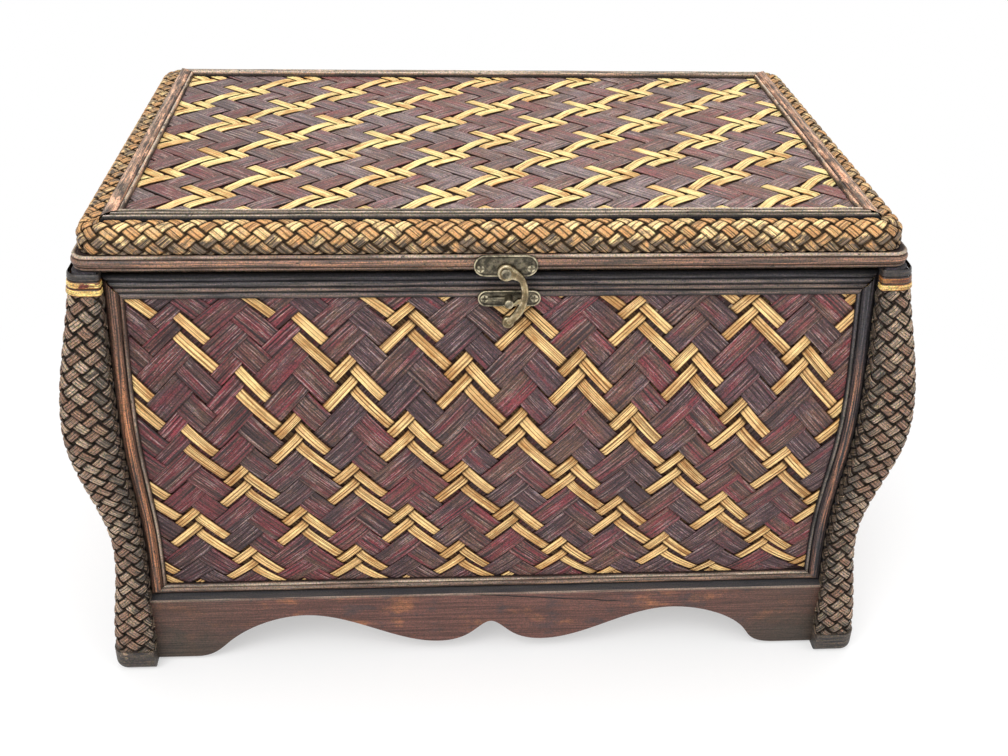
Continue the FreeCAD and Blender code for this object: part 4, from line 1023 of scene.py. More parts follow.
def boxed(box):
    """Holds points inside a box of the surface."""
    def hold(u, v):
        held_u, held_v = np.clip(u, box[0], box[1]), np.clip(v, box[2], box[3])
        return held_u, held_v, (held_u != u) | (held_v != v)
    return hold


def backing(shell, place, u, v, depth, **way):
    """A sheet of painted shade behind a weave, seen through its gaps."""
    points = place(u, v, np.full(np.broadcast_shapes(u.shape, v.shape), depth))
    shell.grid(points, (0.0, 0.0), (0.0, 0.5, 0.0, 0.0), **way)


def panel(shell, place, box, depth, fabric, style, seed):
    """A woven panel and the sheet of painted shade behind it."""
    weave(shell, place, box, boxed(box), fabric, style, seed)
    backing(shell, place, np.linspace(*box[:2], 3)[:, None], np.linspace(*box[2:], 60)[None, :], depth)


# Pieces

class TrunkPiece:
    """What the operators of the trunk's pieces share."""
    bl_options = {"REGISTER"}

    @classmethod
    def poll(cls, context):
        return context.scene is not None

    def execute(self, context):
        self.build()
        return {"FINISHED"}


class TRUNK_OT_wall_weaves(TrunkPiece, bpy.types.Operator):
    """Weaves the four walls' panels of flat reed"""
    bl_idname = "trunk.wall_weaves"
    bl_label = "Wall weaves"

    def build(self):
        foot, head, knot_height = (float(arc_at(z)) for z in (WEAVE_FOOT, WEAVE_HEAD, WALL_KNOT[1]))
        for index, (wall, (_, half, _)) in enumerate(WALLS.items()):
            end = half - WEAVE_MARGIN
            knot = (WALL_KNOT[0] if wall in ("front", "back") else 0.0, knot_height)
            fabric = panel_fabric(knot, *WALL_STEPS, hand_drift if wall == "front" else None)

            def yellow(family, number, chance, wall=wall):
                """Yellow, but stained red in the upper left of the front, and here and there elsewhere."""
                if wall == "front" and family == 1 and number < -4:
                    return STAINED
                return YELLOW if chance.uniform() < 0.96 else STAINED
            shell = Shell()
            style = panel_style(yellow, 0.25, 13.5, 1.0)
            box = (-end, end, foot, head)
            panel(shell, on_wall(wall), box, WALL_BACKING, fabric, style, 11 + index)
            shell.piece(f"{wall}_weave_reeds", "trunk", "woven_reed", [f"{wall}_weave"], "woven_reed")


class TRUNK_OT_lid_weave(TrunkPiece, bpy.types.Operator):
    """Weaves the lid's panel of flat reed"""
    bl_idname = "trunk.lid_weave"
    bl_label = "Lid weave"

    def build(self):
        def place(u, v, h):
            return joined(v, -u, LID_TOP + h)
        shell = Shell()
        style = panel_style(lambda family, number, chance: YELLOW, 1.5, 12.4, 1.3)
        panel(shell, place, LID_PANEL, LID_BACKING, panel_fabric(LID_KNOT, *LID_STEPS), style, 31)
        shell.piece("lid_weave_reeds", "lid", "woven_reed_faded", ["lid_weave"], "woven_reed")


class TRUNK_OT_post_braids(TrunkPiece, bpy.types.Operator):
    """Braids the sleeves of the four corner posts"""
    bl_idname = "trunk.post_braids"
    bl_label = "Post braids"

    def build(self):
        pitch = sizes()["post_braid_pitch"]
        across, up = (share * pitch for share in POST_STEP_SHARES)
        foot, head = float(arc_at(POST_FOOT)), float(arc_at(BRAID_HEAD))
        fabric = Fabric((0.0, foot), (across, up), (across, -up), BRAID_REPEAT, plain)
        for index, post in enumerate(POSTS):
            place, limits, flip = on_post(post)

            def hold(u, v, limits=limits):
                held_v = np.clip(v, foot, head)
                held_u = np.clip(u, *limits(held_v, FLANK_DEPTH))
                return held_u, held_v, (held_u != u) | (held_v != v)

            def shade(u, v, limits=limits, clean=0.9 if post.endswith("left") else 0.75):
                """Painted shade along the inner edges and on the flanks, and darker just over the foot."""
                low, high = limits(v, 0.0)
                rim = np.minimum(u - low, high - u)
                return np.clip(rim / 14, 0.0, clean) * np.clip((v - foot) / 9, 0.15, 1.0)
            shell = Shell()
            weave(shell, place, (-38.0, 42.0, foot, head), hold, fabric,
                  braid_style(3, pitch * POST_STRIP_SHARE, shade, -0.85), 51 + index, flip)
            v = np.linspace(foot, head, 80)[None, :]
            low, high = limits(v, FLANK_DEPTH)
            u = low + (high - low) * np.linspace(0, 1, 40)[:, None]
            backing(shell, place, u, v, BRAID_BACKING, flip=not flip)
            shell.piece(f"{post}_post_strips", "trunk", "post_braid", [f"{post}_post_braid"], "braid")


# The lowest binding's foot, the distance from one binding to the next and the height of each.
BAND_FOOT = 247.5
BAND_PITCH = 3.8
BAND_HEIGHT = 3.6
# A binding's section from its foot up: share of its height, outward, how red its edges are and shade.
BINDING_SECTION = (
    (0.0, 0.0, 1.0, 0.9),
    (0.05, 0.25, 1.0, 0.4),
    (0.14, 0.5, 1.0, 0.0),
    (0.22, 0.55, 0.0, 0.0),
    (0.5, 0.42, 0.1, 0.35),
    (0.56, 0.55, 0.0, 0.0),
    (0.78, 0.5, 0.0, 0.0),
    (0.88, 0.25, 1.0, 0.3),
    (1.0, 0.0, 1.0, 0.9),
)


class TRUNK_OT_post_bindings(TrunkPiece, bpy.types.Operator):
    """Winds the bright bindings round the tops of the posts"""
    bl_idname = "trunk.post_bindings"
    bl_label = "Post bindings"

    def build(self):
        shell = Shell()
        share, outward, redness, shade = np.array(BINDING_SECTION).T[:, :, None]
        for index, post in enumerate(POSTS):
            place, limits, flip = on_post(post)
            for number, kind in enumerate((1.0, 1.0 if post.endswith("left") else 0.4, 0.0)):
                heights = BAND_FOOT + BAND_PITCH * number + BAND_HEIGHT * share
                edge = redness * (0.62 if kind > 0.9 else 0.1)
                foot, head = limits(arc_at(heights), 3.0)
                u = foot + (head - foot) * np.linspace(0, 1, 90)
                v = arc_at(heights) + noise_along(60.0, 90, 5 * index + number, 0.12) * (edge > 0)
                chance = np.random.default_rng(71 + 3 * index + number)
                shell.grid(place(u, v, outward - 0.05 * number), joined(u + 11.0 * index, heights),
                           joined(kind - edge, 0.0, shade, chance.uniform()), flip=flip)
        shell.piece("post_binding_reeds", "trunk", "yellow_binding", ["post_bindings"], "yellow_binding")


# Sections of the mouldings from their inner to their outer edge: share across, height, wear, light, shade.
STILE_PROFILE = (
    (0.0, -0.9, 0.0, 0.0, 1.0),
    (0.0, 1.2, 0.0, 0.0, 0.8),
    (0.04, 1.9, 0.0, 0.3, 0.3),
    (0.10, 2.3, 0.0, 1.0, 0.0),
    (0.17, 2.0, 0.0, 0.7, 0.1),
    (0.21, 1.3, 0.0, 0.0, 0.85),
    (0.25, 1.9, 0.1, 0.0, 0.55),
    (0.31, 3.3, 0.55, 0.0, 0.1),
    (0.38, 4.2, 0.9, 0.0, 0.0),
    (0.47, 4.7, 1.0, 0.0, 0.0),
    (0.57, 4.8, 0.75, 0.0, 0.0),
    (0.68, 4.6, 0.25, 0.0, 0.1),
    (0.79, 4.0, 0.05, 0.1, 0.3),
    (0.87, 3.2, 0.0, 0.25, 0.5),
    (0.94, 2.0, 0.0, 0.1, 0.7),
    (0.99, 0.4, 0.0, 0.0, 0.9),
    (1.0, -0.9, 0.0, 0.0, 1.0),
)

TOP_RAIL_PROFILE = (
    (0.0, -0.9, 0.0, 0.0, 1.0),
    (0.0, 1.0, 0.0, 0.0, 0.8),
    (0.05, 2.0, 0.05, 0.1, 0.2),
    (0.13, 2.5, 0.15, 0.15, 0.0),
    (0.21, 2.2, 0.05, 0.1, 0.2),
    (0.25, 1.6, 0.0, 0.0, 0.9),
    (0.29, 2.4, 0.05, 0.1, 0.3),
    (0.36, 3.1, 0.2, 0.25, 0.0),
    (0.43, 2.9, 0.1, 0.1, 0.1),
    (0.47, 2.2, 0.0, 0.0, 0.8),
    (0.51, 2.9, 0.0, 0.1, 0.2),
    (0.59, 3.5, 0.1, 0.3, 0.0),
    (0.67, 3.2, 0.0, 0.1, 0.1),
    (0.71, 2.5, 0.0, 0.0, 0.8),
    (0.75, 3.0, 0.0, 0.0, 0.3),
    (0.83, 3.4, 0.0, 0.05, 0.25),
    (0.91, 3.1, 0.0, 0.0, 0.75),
    (1.0, 2.4, 0.0, 0.0, 0.95),
    (1.0, -0.9, 0.0, 0.0, 1.0),
)

BOTTOM_RAIL_PROFILE = (
    (0.0, -0.9, 0.0, 0.0, 1.0),
    (0.0, 1.5, 0.0, 0.0, 0.7),
    (0.08, 2.3, 0.2, 0.6, 0.1),
    (0.2, 2.7, 0.3, 1.0, 0.0),
    (0.3, 2.4, 0.2, 0.5, 0.1),
    (0.36, 1.8, 0.0, 0.1, 0.45),
    (0.43, 2.8, 0.3, 0.35, 0.1),
    (0.6, 3.5, 0.5, 0.3, 0.0),
    (0.76, 3.2, 0.3, 0.2, 0.1),
    (0.86, 2.2, 0.0, 0.1, 0.5),
    (1.0, 1.6, 0.0, 0.0, 0.8),
    (1.0, -0.9, 0.0, 0.0, 1.0),
)


def top_rail_at(share):
    """Heights across the top rails, from their inner edge to their outer one."""
    return TOP_RAIL_FOOT + share * (WEAVE_HEAD - TOP_RAIL_FOOT)


def bottom_rail_at(share):
    """Heights across the bottom rails, from their inner edge to their outer one."""
    return BOTTOM_RAIL_HEAD - share * (BOTTOM_RAIL_HEAD - WEAVE_FOOT)


class TRUNK_OT_wall_mouldings(TrunkPiece, bpy.types.Operator):
    """Makes the stiles and rails that frame the walls' panels"""
    bl_idname = "trunk.wall_mouldings"
    bl_label = "Wall mouldings"

    def build(self):
        ends = {"front": ("left", "right"), "right": ("front", "back"), "back": ("right", "left"),
                "left": ("back", "front")}
        for index, (wall, sides) in enumerate(ends.items()):
            inner = (STILE_OUTER if wall in ("front", "back") else SIDE_STILE_OUTER) - STILE_WIDTH
            on_face = on_wall(wall)
            for side, neighbour in zip((-1, 1), sides):
                def stile(t, along, h, side=side):
                    return on_face(side * (inner + t * STILE_WIDTH), arc_at(along), h)

                def worn(along, side=side):
                    """Rubbed bare from the middle down, more on one side of a wall than the other."""
                    return np.clip((222.0 - along) / 40.0, 0.1, 1.0) * (1.0 if side < 0 else 0.6)
                shell = Shell()
                bar(shell, stile, STILE_PROFILE, lambda t: bottom_rail_at(t) + MITRE_GAP,
                    lambda t: top_rail_at(t) - MITRE_GAP, 2.5, 3 + 7 * index + side, flip=side > 0, worn=worn)
                node = f"{wall}_{neighbour}_stile"
                shell.piece(f"{node}_moulding", "trunk", "stile_wood" if side < 0 else "dark_stile_wood",
                            [node], "dark_rail")

            def reach(t, inner=inner):
                return inner + t * STILE_WIDTH - MITRE_GAP
            for kind, profile, height, seed, flip, wood, slot in (
                    ("top_rail", TOP_RAIL_PROFILE, top_rail_at, 5, False, "rail_wood", "dark_rail"),
                    ("bottom_rail", BOTTOM_RAIL_PROFILE, bottom_rail_at, 6, True, "moulding_wood",
                     "moulding")):
                def rail(t, along, h, height=height):
                    return on_face(along, arc_at(height(t)), h)
                shell = Shell()
                bar(shell, rail, profile, lambda t: -reach(t), reach, 3.0, seed + 7 * index, flip=flip)
                shell.piece(f"{wall}_{kind}_moulding", "trunk", wood, [f"{wall}_{kind}"], slot)


LID_MOULDING_PROFILE = (
    (0.0, -0.6, 0.0, 0.0, 1.0),
    (0.0, 1.6, 0.1, 0.0, 0.6),
    (0.05, 2.8, 0.5, 0.5, 0.0),
    (0.13, 3.3, 0.6, 1.5, 0.0),
    (0.19, 2.9, 0.4, 0.7, 0.1),
    (0.21, 1.0, 0.0, 0.0, 1.0),
    (0.39, 1.0, 0.0, 0.0, 1.0),
    (0.41, 2.8, 0.3, 0.8, 0.1),
    (0.47, 3.2, 0.3, 1.7, 0.0),
    (0.53, 2.8, 0.2, 0.7, 0.1),
    (0.55, 1.0, 0.0, 0.0, 1.0),
    (0.72, 1.0, 0.0, 0.0, 1.0),
    (0.74, 2.4, 0.1, 0.5, 0.2),
    (0.80, 2.8, 0.2, 1.4, 0.0),
    (0.87, 2.2, 0.0, 0.1, 0.6),
    (0.92, 1.2, 0.0, 0.0, 1.0),
    (1.0, 0.6, 0.0, 0.0, 1.0),
    (1.0, -0.6, 0.0, 0.0, 1.0),
)

LID_SIDE_PROFILE = (
    (0.0, -0.6, 0.0, 0.0, 1.0),
    (0.0, 1.5, 0.0, 0.4, 0.6),
    (0.06, 2.6, 0.1, 1.0, 0.0),
    (0.14, 2.9, 0.1, 0.9, 0.0),
    (0.20, 2.3, 0.0, 0.0, 0.85),
    (0.26, 3.0, 0.5, 0.0, 0.2),
    (0.40, 3.4, 1.0, 0.3, 0.0),
    (0.55, 3.5, 0.8, 0.2, 0.0),
    (0.72, 3.4, 0.45, 0.5, 0.0),
    (0.90, 3.0, 0.2, 0.4, 0.1),
    (1.0, 1.8, 0.0, 0.0, 0.9),
    (1.0, -0.6, 0.0, 0.0, 1.0),
)


class TRUNK_OT_lid_mouldings(TrunkPiece, bpy.types.Operator):
    """Makes the four mitred mouldings round the lid's panel"""
    bl_idname = "trunk.lid_mouldings"
    bl_label = "Lid mouldings"

    def build(self):
        width = LID_MOULDING_WIDTH
        long, short = (outer - width for outer in LID_MOULDING_OUTER)
        for quarters, side in enumerate(("front", "right", "back", "left")):
            crossways = quarters % 2 == 1
            half, reach = (short, long) if crossways else (long, short)

            def place(t, along, h, reach=reach, quarters=quarters):
                return quarter_turned(along, -(reach + t * width), LID_TOP + h, quarters)

            def end(t, half=half):
                return half + t * width - LID_MITRE_GAP
            shell = Shell()
            bar(shell, place, LID_SIDE_PROFILE if crossways else LID_MOULDING_PROFILE, lambda t: -end(t), end,
                3.0, 41 + quarters, flip=True, swing=0.06)
            wood = "lid_side_wood" if crossways else "lid_moulding_wood"
            shell.piece(f"lid_{side}_moulding_ridges", "lid", wood, [f"lid_{side}_moulding"], "moulding")


# The lid rail's section from its inner foot over the front to its inner top: outward, height, wear, light
# and shade.
LID_RAIL_SECTION = (
    (-9.0, 259.0, 0.0, 0.0, 0.6),
    (-2.6, 259.0, 0.0, 0.0, 0.5),
    (-1.5, 259.3, 0.0, 0.1, 0.3),
    (-0.9, 259.9, 0.1, 0.25, 0.0),
    (-1.0, 260.5, 0.1, 0.15, 0.1),
    (-1.5, 260.9, 0.0, 0.0, 0.7),
    (-0.8, 261.3, 0.2, 0.1, 0.1),
    (-0.25, 262.1, 0.3, 0.1, 0.0),
    (-0.05, 263.0, 0.5, 0.15, 0.0),
    (-0.1, 264.0, 0.4, 0.1, 0.0),
    (-0.5, 264.8, 0.25, 0.1, 0.0),
    (-1.4, 265.3, 0.0, 0.0, 0.8),
    (-0.9, 265.9, 0.1, 0.3, 0.1),
    (-1.0, 266.6, 0.1, 0.8, 0.0),
    (-1.6, 267.2, 0.1, 0.8, 0.0),
    (-2.4, 267.3, 0.0, 0.3, 0.3),
    (-3.0, 266.9, 0.0, 0.0, 0.7),
    (-9.0, 266.9, 0.0, 0.0, 1.0),
)


class TRUNK_OT_lid_rail(TrunkPiece, bpy.types.Operator):
    """Makes the ribbed rail round the lid's edge"""
    bl_idname = "trunk.lid_rail"
    bl_label = "Lid rail"

    def build(self):
        place, total = ring(*RAIL_RING)
        outward, height, wear, light, shade = np.array(LID_RAIL_SECTION).T[:, :, None]
        count = 520
        u = np.linspace(0, total, count, endpoint=False)
        sway = noise_along(total, count, 9, 0.10) * (1 - np.cos(np.linspace(0, 2 * math.pi, count))) / 2
        out = outward + sway * (outward > -2.0) - 0.1
        run = np.cumsum(np.hypot(np.diff(outward, axis=0), np.diff(height, axis=0)), axis=0)
        shell = Shell()
        shell.grid(place(u, out, height), joined(u, np.concatenate([[[0.0]], run])),
                   joined(wear, light, shade, 0.5), flip=True, closed=True)
        shell.piece("lid_rail_ribs", "lid", "lid_rail_wood", ["lid_rail"], "moulding")


class TRUNK_OT_lid_braid(TrunkPiece, bpy.types.Operator):
    """Braids the roll of strips round the lid's edge"""
    bl_idname = "trunk.lid_braid"
    bl_label = "Lid braid"

    def build(self):
        around, total = ring(*BRAID_RING)
        foot, radius = BRAID_FOOT, BRAID_RADIUS
        wall = BRAID_TOP - radius - foot
        arc = radius * math.pi / 2
        length = wall + arc + 5.2

        def place(u, v, h):
            angle = np.clip((v - wall) / radius, 0, math.pi / 2)
            out = -radius + (radius + h) * np.cos(angle) - np.maximum(v - wall - arc, 0)
            return around(u + total / 2, out, foot + np.minimum(v, wall) + (radius + h) * np.sin(angle))

        def hold(u, v):
            held = np.clip(v, 0.0, length)
            return u, held, held != v

        def shade(u, v):
            """Lightest on the front's upper face; painted shade darkens it towards the foot, and it is darker
            along the lid's sides and a little towards the top.
            """
            side = np.clip((205.0 - np.abs(u - total / 2)) / 10.0, 0.55, 1.0)
            return np.clip((v - 3.0) / 8.0, 0.0, 1.0) * np.clip(1.4 - (v - 15.0) / 12.0, 0.55, 1.0) * side
        pitch = sizes()["lid_braid_pitch"]
        step = total / round(total / (2 * pitch))
        rise = LID_RISE_SHARE * pitch
        fabric = Fabric((0.0, 2.0), (step, rise), (step, -rise), BRAID_REPEAT, plain)
        shell = Shell()
        weave(shell, place, (0.0, total, 0.0, length), hold, fabric,
              braid_style(2, pitch * LID_STRIP_SHARE, shade, -0.75), 81)
        backing(shell, place, np.linspace(0, total, 400, endpoint=False)[None, :],
                np.linspace(0, length, 14)[:, None], BRAID_BACKING, flip=True, closed=True)
        shell.piece("lid_braid_strips", "lid", "lid_braid", ["lid_braid"], "braid")


# Latch

# Middles of the latch's pieces, in x and z.
PIVOT = (3.4, 259.2)
LID_PLATE = (PIVOT[0], PIVOT[1] + 3.1)
LID_SCREWS = (PIVOT[0], PIVOT[1] + 1.6)
CATCH = (5.9, 241.5)
PEG = (5.3, 241.5)
HOOK_TIP = (PIVOT[0] + 1.6, PIVOT[1] - 28.2)
BOW_CENTRE = (PIVOT[0] - 9.8, PIVOT[1] - 12.1)

PLATE_LENGTH = 33.0
LID_PLATE_HEIGHT = 12.0
CATCH_HEIGHT = 9.3
BOW_RADIUS = 19.7
EYE_RADIUS = 4.5
TIP_RADIUS = 3.3
SCREW_RADIUS = 2.3
# How far the screws lie from the middle of their plate.
SCREW_REACH = 12.9

# Where the pieces begin and end in y.
LATCH_BACK = -137.8
LATCH_FACE = -139.0
CATCH_BACK = -133.2
CATCH_FACE = -134.4
HOOK_BACK = -139.3
HOOK_FRONT = -141.5
# A radius so small that an outline closes to a point.
POINT = 0.01

# Reliefs from the rim to the middle: inset or radius, how far in front of a face, light and shade.
PLATE_RIM = (
    (0.0, -0.6, 0.0, 0.5),
    (0.15, -0.18, 0.4, 0.1),
    (0.4, 0.0, 1.0, 0.0),
    (0.65, 0.0, 0.9, 0.0),
    (0.95, -0.2, 0.1, 0.5),
    (1.4, -0.42, 0.0, 0.85),
    (1.8, -0.42, 0.0, 0.35),
    (2.6, -0.34, 0.0, 0.15),
)
PEG_TOP = (
    (2.4, -0.5, 0.3, 0.0),
    (2.1, -0.1, 0.9, 0.0),
    (1.4, 0.0, 0.3, 0.0),
    (POINT, 0.0, 0.0, 0.1),
)
RIVET_TOP = (
    (2.0, 0.0, 0.0, 1.0),
    (2.7, 0.1, 0.0, 0.7),
    (2.7, 0.4, 0.4, 0.0),
    (2.3, 0.85, 0.5, 0.0),
    (1.4, 1.05, 0.1, 0.1),
    (POINT, 1.1, 0.0, 0.1),
)
EYE_RIM = (
    (0.0, -1.1, 0.1, 0.2),
    (0.16, -0.4, 0.8, 0.0),
    (0.5, -0.05, 1.0, 0.0),
    (1.0, 0.0, 0.3, 0.0),
    (1.5, -0.1, 0.0, 0.3),
)
# A bow's section: share of its half width, share of its depth, light and shade.
BOW_SECTION = (
    (-1.0, 0.0, 0.0, 1.0),
    (-1.0, 0.55, 0.0, 0.7),
    (-0.93, 0.82, 0.5, 0.1),
    (-0.74, 0.97, 0.9, 0.0),
    (-0.4, 1.0, 0.2, 0.0),
    (0.3, 1.0, 0.0, 0.1),
    (0.72, 0.97, 0.5, 0.0),
    (0.93, 0.82, 0.2, 0.1),
    (1.0, 0.55, 0.0, 0.7),
    (1.0, 0.0, 0.0, 1.0),
)


def capsule(middle, length, height, inset, count=20):
    """Points round a round-ended outline in x and z."""
    radius = height / 2 - inset
    half = (length - height) / 2
    angle = np.linspace(-math.pi / 2, math.pi / 2, count)
    right = joined(middle[0] + half + radius * np.cos(angle), middle[1] + radius * np.sin(angle))
    left = joined(middle[0] - half - radius * np.cos(angle), middle[1] - radius * np.sin(angle))
    return np.concatenate([right, left])


def disc(middle, radius, count=40):
    """Points round a circle in x and z."""
    angle = np.linspace(0, 2 * math.pi, count, endpoint=False)
    return joined(middle[0] + radius * np.cos(angle), middle[1] + radius * np.sin(angle))


def stack_up(shell, layers):
    """A relief of outlines one inside another: each layer is an outline, its y, light and shade."""
    rows = [joined(outline[:, 0], y, outline[:, 1]) for outline, y, light, shade in layers]
    marks = [[(0.0, light, shade, 0.5)] for outline, y, light, shade in layers]
    shell.grid(np.array(rows), (0.0, 0.0), np.array(marks), closed=True)


def discs(middle, face, relief):
    """The layers of a round relief in front of a face."""
    return [(disc(middle, radius), face - out, light, shade) for radius, out, light, shade in relief]


def plate(shell, middle, height, back, front):
    """A stamped plate with a raised rim, with a painted highlight on the rim and painted shade inside it and
    at its back.
    """
    def layer(inset, y, light, shade):
        return capsule(middle, PLATE_LENGTH, height, inset), y, light, shade
    centre = height / 2 - POINT
    stack_up(shell, [layer(centre, back, 0.0, 1.0), layer(0.0, back, 0.0, 0.9)]
             + [layer(inset, front - out, light, shade) for inset, out, light, shade in PLATE_RIM]
             + [layer(centre, front + 0.32, 0.0, 0.1)])


def screw_head(shell, middle, radius, front):
    """A countersunk head with a cross slot."""
    rows, marks = [], []
    for index, share in enumerate((1.0, 0.97, 0.9, 0.8, 0.66, 0.52, 0.38, 0.24, 0.12, POINT / radius)):
        outline = disc(middle, radius * share, 64)
        offset = np.abs(outline - np.array(middle))
        slot = (offset.min(1) < 0.15 * radius) & (share < 0.7)
        y = front - 0.45 * (1 - share ** 2) - 0.15 + np.where(slot, 0.55, 0.0) + (0.35 if index == 0 else 0.0)
        rows.append(joined(outline[:, 0], y, outline[:, 1]))
        # painted highlight on the head's ring, painted shade in the slot and round the rim
        light, shade = 0.9 if 0 < index < 6 else 0.4, 1.0 if index == 0 else 0.0
        marks.append(joined(0.0, np.where(slot, 0.0, light), np.where(slot, 1.0, shade), 0.0))
    shell.grid(np.array(rows), (0.0, 0.0), np.array(marks), closed=True)


def swept(shell, centres, widths, back, front):
    """A flat bow with rounded edges along centres in x and z, of changing half width."""
    centres, widths = np.array(centres, float), np.array(widths, float)
    heading = np.gradient(centres, axis=0)
    heading /= np.linalg.norm(heading, axis=1, keepdims=True)
    square = joined(-heading[:, 1], heading[:, 0])
    rows, marks = [], []
    # painted highlights along the bow's edges, stronger on one side, and painted shade at its back edges
    for across, rise, light, shade in BOW_SECTION:
        spot = centres + square * (across * widths)[:, None]
        rows.append(joined(spot[:, 0], back - rise * (back - front), spot[:, 1]))
        marks.append([(0.0, light, shade, 0.5)])
    shell.grid(np.array(rows), (0.0, 0.0), np.array(marks), flip=True)


class TRUNK_OT_latch(TrunkPiece, bpy.types.Operator):
    """Makes the swing latch: plates, hook, rivet and screws"""
    bl_idname = "trunk.latch"
    bl_label = "Latch"

    def build(self):
        def piece(name, body, nodes, material="antique_brass"):
            shell.piece(name, body, material, nodes, "antique_brass")
        shell = Shell()
        plate(shell, LID_PLATE, LID_PLATE_HEIGHT, LATCH_BACK, LATCH_FACE)
        piece("latch_plate_stamped", "lid", ["latch_plate"])

        shell = Shell()
        plate(shell, CATCH, CATCH_HEIGHT, CATCH_BACK, CATCH_FACE)
        swept(shell, [(-5.2, 241.9), (-2.0, 241.7), (1.5, 241.5), PEG], [0.7, 1.0, 1.2, 1.4],
              CATCH_FACE, CATCH_FACE - 1.0)
        foot = discs(PEG, CATCH_FACE, [(PEG_TOP[0][0], 0.0, 0.0, 0.6)])
        stack_up(shell, foot + discs(PEG, HOOK_FRONT, PEG_TOP))
        piece("catch_plate_stamped", "trunk", ["catch_plate"])

        shell = Shell()
        centre = np.array(BOW_CENTRE)
        share = np.linspace(0.3, 1, 32)
        widths = 1.85 + 0.35 * np.clip((share - 0.6) / 0.2, 0, 1) * np.clip((1.0 - share) / 0.2, 0, 1)
        angles = np.radians(np.linspace(24, -56, 32))
        bow = centre + BOW_RADIUS * joined(np.cos(angles), np.sin(angles))
        neck = np.array([(0.0, 0.0), (2.3, -0.2), (4.7, -1.2), (6.9, -2.6)]) + PIVOT
        swept(shell, np.concatenate([neck, bow]), np.concatenate([(4.4, 3.8, 2.8, 2.1), widths]),
              HOOK_BACK, HOOK_FRONT)
        root = np.array([math.cos(math.radians(-14)), math.sin(math.radians(-14))])
        swept(shell, [centre + 19.5 * root, centre + (17.0, 17.4) * root, np.array(PIVOT) + (2.4, -19.2)],
              [2.6, 1.5, 0.25], HOOK_BACK, HOOK_FRONT + 0.2)
        for middle, radius in ((PIVOT, EYE_RADIUS), (HOOK_TIP, TIP_RADIUS)):
            back = discs(middle, HOOK_BACK, [(POINT, 0.0, 0.0, 1.0), (radius, 0.0, 0.0, 0.8)])
            rim = [(radius - inset, *rest) for inset, *rest in EYE_RIM]
            stack_up(shell, back + discs(middle, HOOK_FRONT, rim + [(POINT, -0.15, 0.0, 0.3)]))
        piece("latch_hook_cast", "hook", ["latch_hook"], "hook_brass")

        shell = Shell()
        foot = discs(PIVOT, LATCH_FACE, [(RIVET_TOP[0][0], 0.0, 0.0, 1.0)])
        stack_up(shell, foot + discs(PIVOT, HOOK_FRONT, RIVET_TOP))
        piece("latch_rivet_head", "lid", ["latch_rivet"])

        for name, body, middle, front in (
                ("lid_screw_heads", "lid", LID_SCREWS, LATCH_FACE),
                ("body_screw_heads", "trunk", CATCH, CATCH_FACE)):
            shell = Shell()
            for side in (-SCREW_REACH, SCREW_REACH):
                screw_head(shell, (middle[0] + side, middle[1]), SCREW_RADIUS, front + 0.28)
            piece(name, body, [])


# CAD nodes that keep their own shape, and the finish of each.
KEPT = {
    "apron_wood_x": ("front_apron", "back_apron"),
    "apron_wood_y": ("left_apron", "right_apron"),
    "foot_binding": tuple(f"{post}_foot_cap" for post in POSTS),
    "post_core": tuple(f"{post}_post" for post in POSTS),
    "inner_board_x": ("front_board", "back_board"),
    "inner_board_y": ("left_board", "right_board"),
    "floor_board": ("floor_board", "lid_board"),
    "lid_frame_wood": ("lid_frame",),
    "hinge_brass": ("hinge_body_leaves", "hinge_lid_leaves", "hinge_pins", "body_screws", "lid_screws"),
}


class TRUNK_OT_woodwork(TrunkPiece, bpy.types.Operator):
    """Finishes the boards, posts, aprons, feet and hinges, which keep their own shape"""
    bl_idname = "trunk.woodwork"
    bl_label = "Woodwork and hinges"

    def build(self):
        for name, nodes in KEPT.items():
            for node in nodes:
                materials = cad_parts[node].data.materials
                materials.clear()
                materials.append(finish(name))


# Stage

# Half the floor's width in metres.
FLOOR_HALF = 6.0
# The photo's camera: its place in metres, the turns that aim it, in degrees, and its lens in millimetres.
CAMERA_PLACE = (-0.03858, -0.69393, 0.52978)
CAMERA_TURNS = (("Z", -4.372), ("X", 59.081), ("Z", 1.583))
CAMERA_LENS = 43.425
# Each lamp's name, place, the height that it aims at, its size and power.
LAMPS = (
    ("key", (-0.9, -1.3, 1.7), 0.15, 1.2, 26.0),
    ("fill", (1.3, -1.0, 1.1), 0.15, 1.4, 9.0),
    ("top", (0.1, 0.5, 2.0), 0.2, 1.4, 16.0),
)


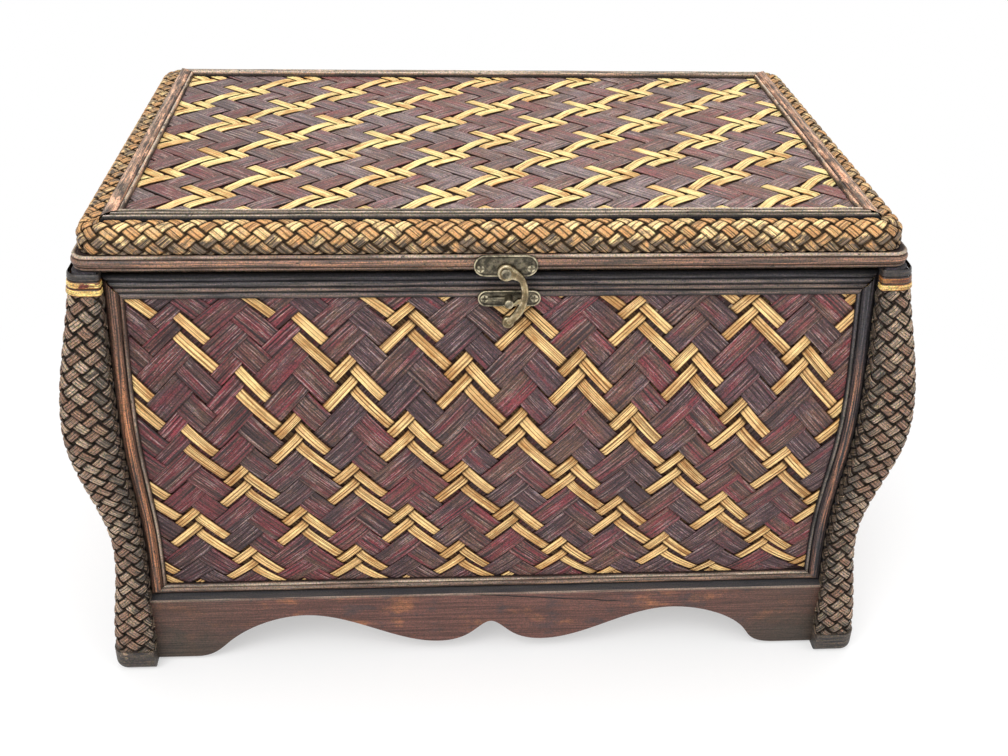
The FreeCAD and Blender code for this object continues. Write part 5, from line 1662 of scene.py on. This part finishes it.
class TRUNK_OT_stage(TrunkPiece, bpy.types.Operator):
    """Sets the pale floor, the soft light and the camera of the view"""
    bl_idname = "trunk.stage"
    bl_label = "Stage"

    def build(self):
        scene = bpy.context.scene
        mesh = bpy.data.meshes.new("floor")
        corners = [(x * FLOOR_HALF, y * FLOOR_HALF, 0.0) for x, y in ((-1, -1), (1, -1), (1, 1), (-1, 1))]
        mesh.from_pydata(corners, [], [(0, 1, 2, 3)])
        mesh.materials.append(finish("studio_floor"))
        linked("floor", mesh)

        scene.world = bpy.data.worlds.new("studio")
        scene.world.use_nodes = True
        nodes = Nodes(scene.world.node_tree)
        nodes.tree.nodes.clear()
        light = nodes.value("ShaderNodeBackground", {"Color": WHITE, "Strength": 0.66})
        white = nodes.value("ShaderNodeBackground", {"Color": WHITE, "Strength": 1.0})
        seen = nodes.value("ShaderNodeLightPath", output="Is Camera Ray")
        both = nodes.value("ShaderNodeMixShader", {0: seen, 1: light, 2: white})
        nodes.node("ShaderNodeOutputWorld", {"Surface": both})

        for name, spot, height, size, power in LAMPS:
            lamp = bpy.data.lights.new(name, "AREA")
            lamp.size, lamp.energy = size, power
            holder = linked(name, lamp)
            holder.location = spot
            aim = Vector((0.0, 0.0, height)) - Vector(spot)
            holder.rotation_euler = aim.to_track_quat("-Z", "Y").to_euler()

        camera = bpy.data.cameras.new("camera")
        camera.sensor_width, camera.sensor_fit, camera.lens = 36.0, "HORIZONTAL", CAMERA_LENS
        camera.clip_start, camera.clip_end = 0.01, 50.0
        scene.camera = linked("camera", camera)
        view = Matrix.Translation(CAMERA_PLACE)
        for axis, angle in CAMERA_TURNS:
            view = view @ Matrix.Rotation(math.radians(angle), 4, axis)
        scene.camera.matrix_world = view
        scene.view_settings.view_transform = "Standard"


class TRUNK_PT_panel(bpy.types.Panel):
    """The trunk's pieces and settings"""
    bl_idname = "TRUNK_PT_panel"
    bl_label = "Wicker Trunk"
    bl_space_type = "VIEW_3D"
    bl_region_type = "UI"
    bl_category = "Trunk"

    def draw(self, context):
        column = self.layout.column(align=True)
        for piece in PIECES:
            column.operator(piece.bl_idname)
        for group in (context.scene.trunk_sizes, context.scene.trunk_colours):
            box = self.layout.box()
            for name in type(group).__annotations__:
                box.prop(group, name)


PIECES = (
    TRUNK_OT_wall_weaves,
    TRUNK_OT_lid_weave,
    TRUNK_OT_post_braids,
    TRUNK_OT_post_bindings,
    TRUNK_OT_wall_mouldings,
    TRUNK_OT_lid_mouldings,
    TRUNK_OT_lid_rail,
    TRUNK_OT_lid_braid,
    TRUNK_OT_latch,
    TRUNK_OT_woodwork,
    TRUNK_OT_stage,
)
CLASSES = (TrunkSizes, TrunkColours) + PIECES + (TRUNK_PT_panel,)


def register():
    for each in CLASSES:
        bpy.utils.register_class(each)
    bpy.types.Scene.trunk_sizes = bpy.props.PointerProperty(type=TrunkSizes)
    bpy.types.Scene.trunk_colours = bpy.props.PointerProperty(type=TrunkColours)


def unregister():
    del bpy.types.Scene.trunk_colours
    del bpy.types.Scene.trunk_sizes
    for each in reversed(CLASSES):
        bpy.utils.unregister_class(each)


def main():
    """Registers the add-on and makes every piece in turn."""
    register()
    for piece in PIECES:
        group, name = piece.bl_idname.split(".")
        getattr(getattr(bpy.ops, group), name)()


if __name__ == "__main__":
    main()
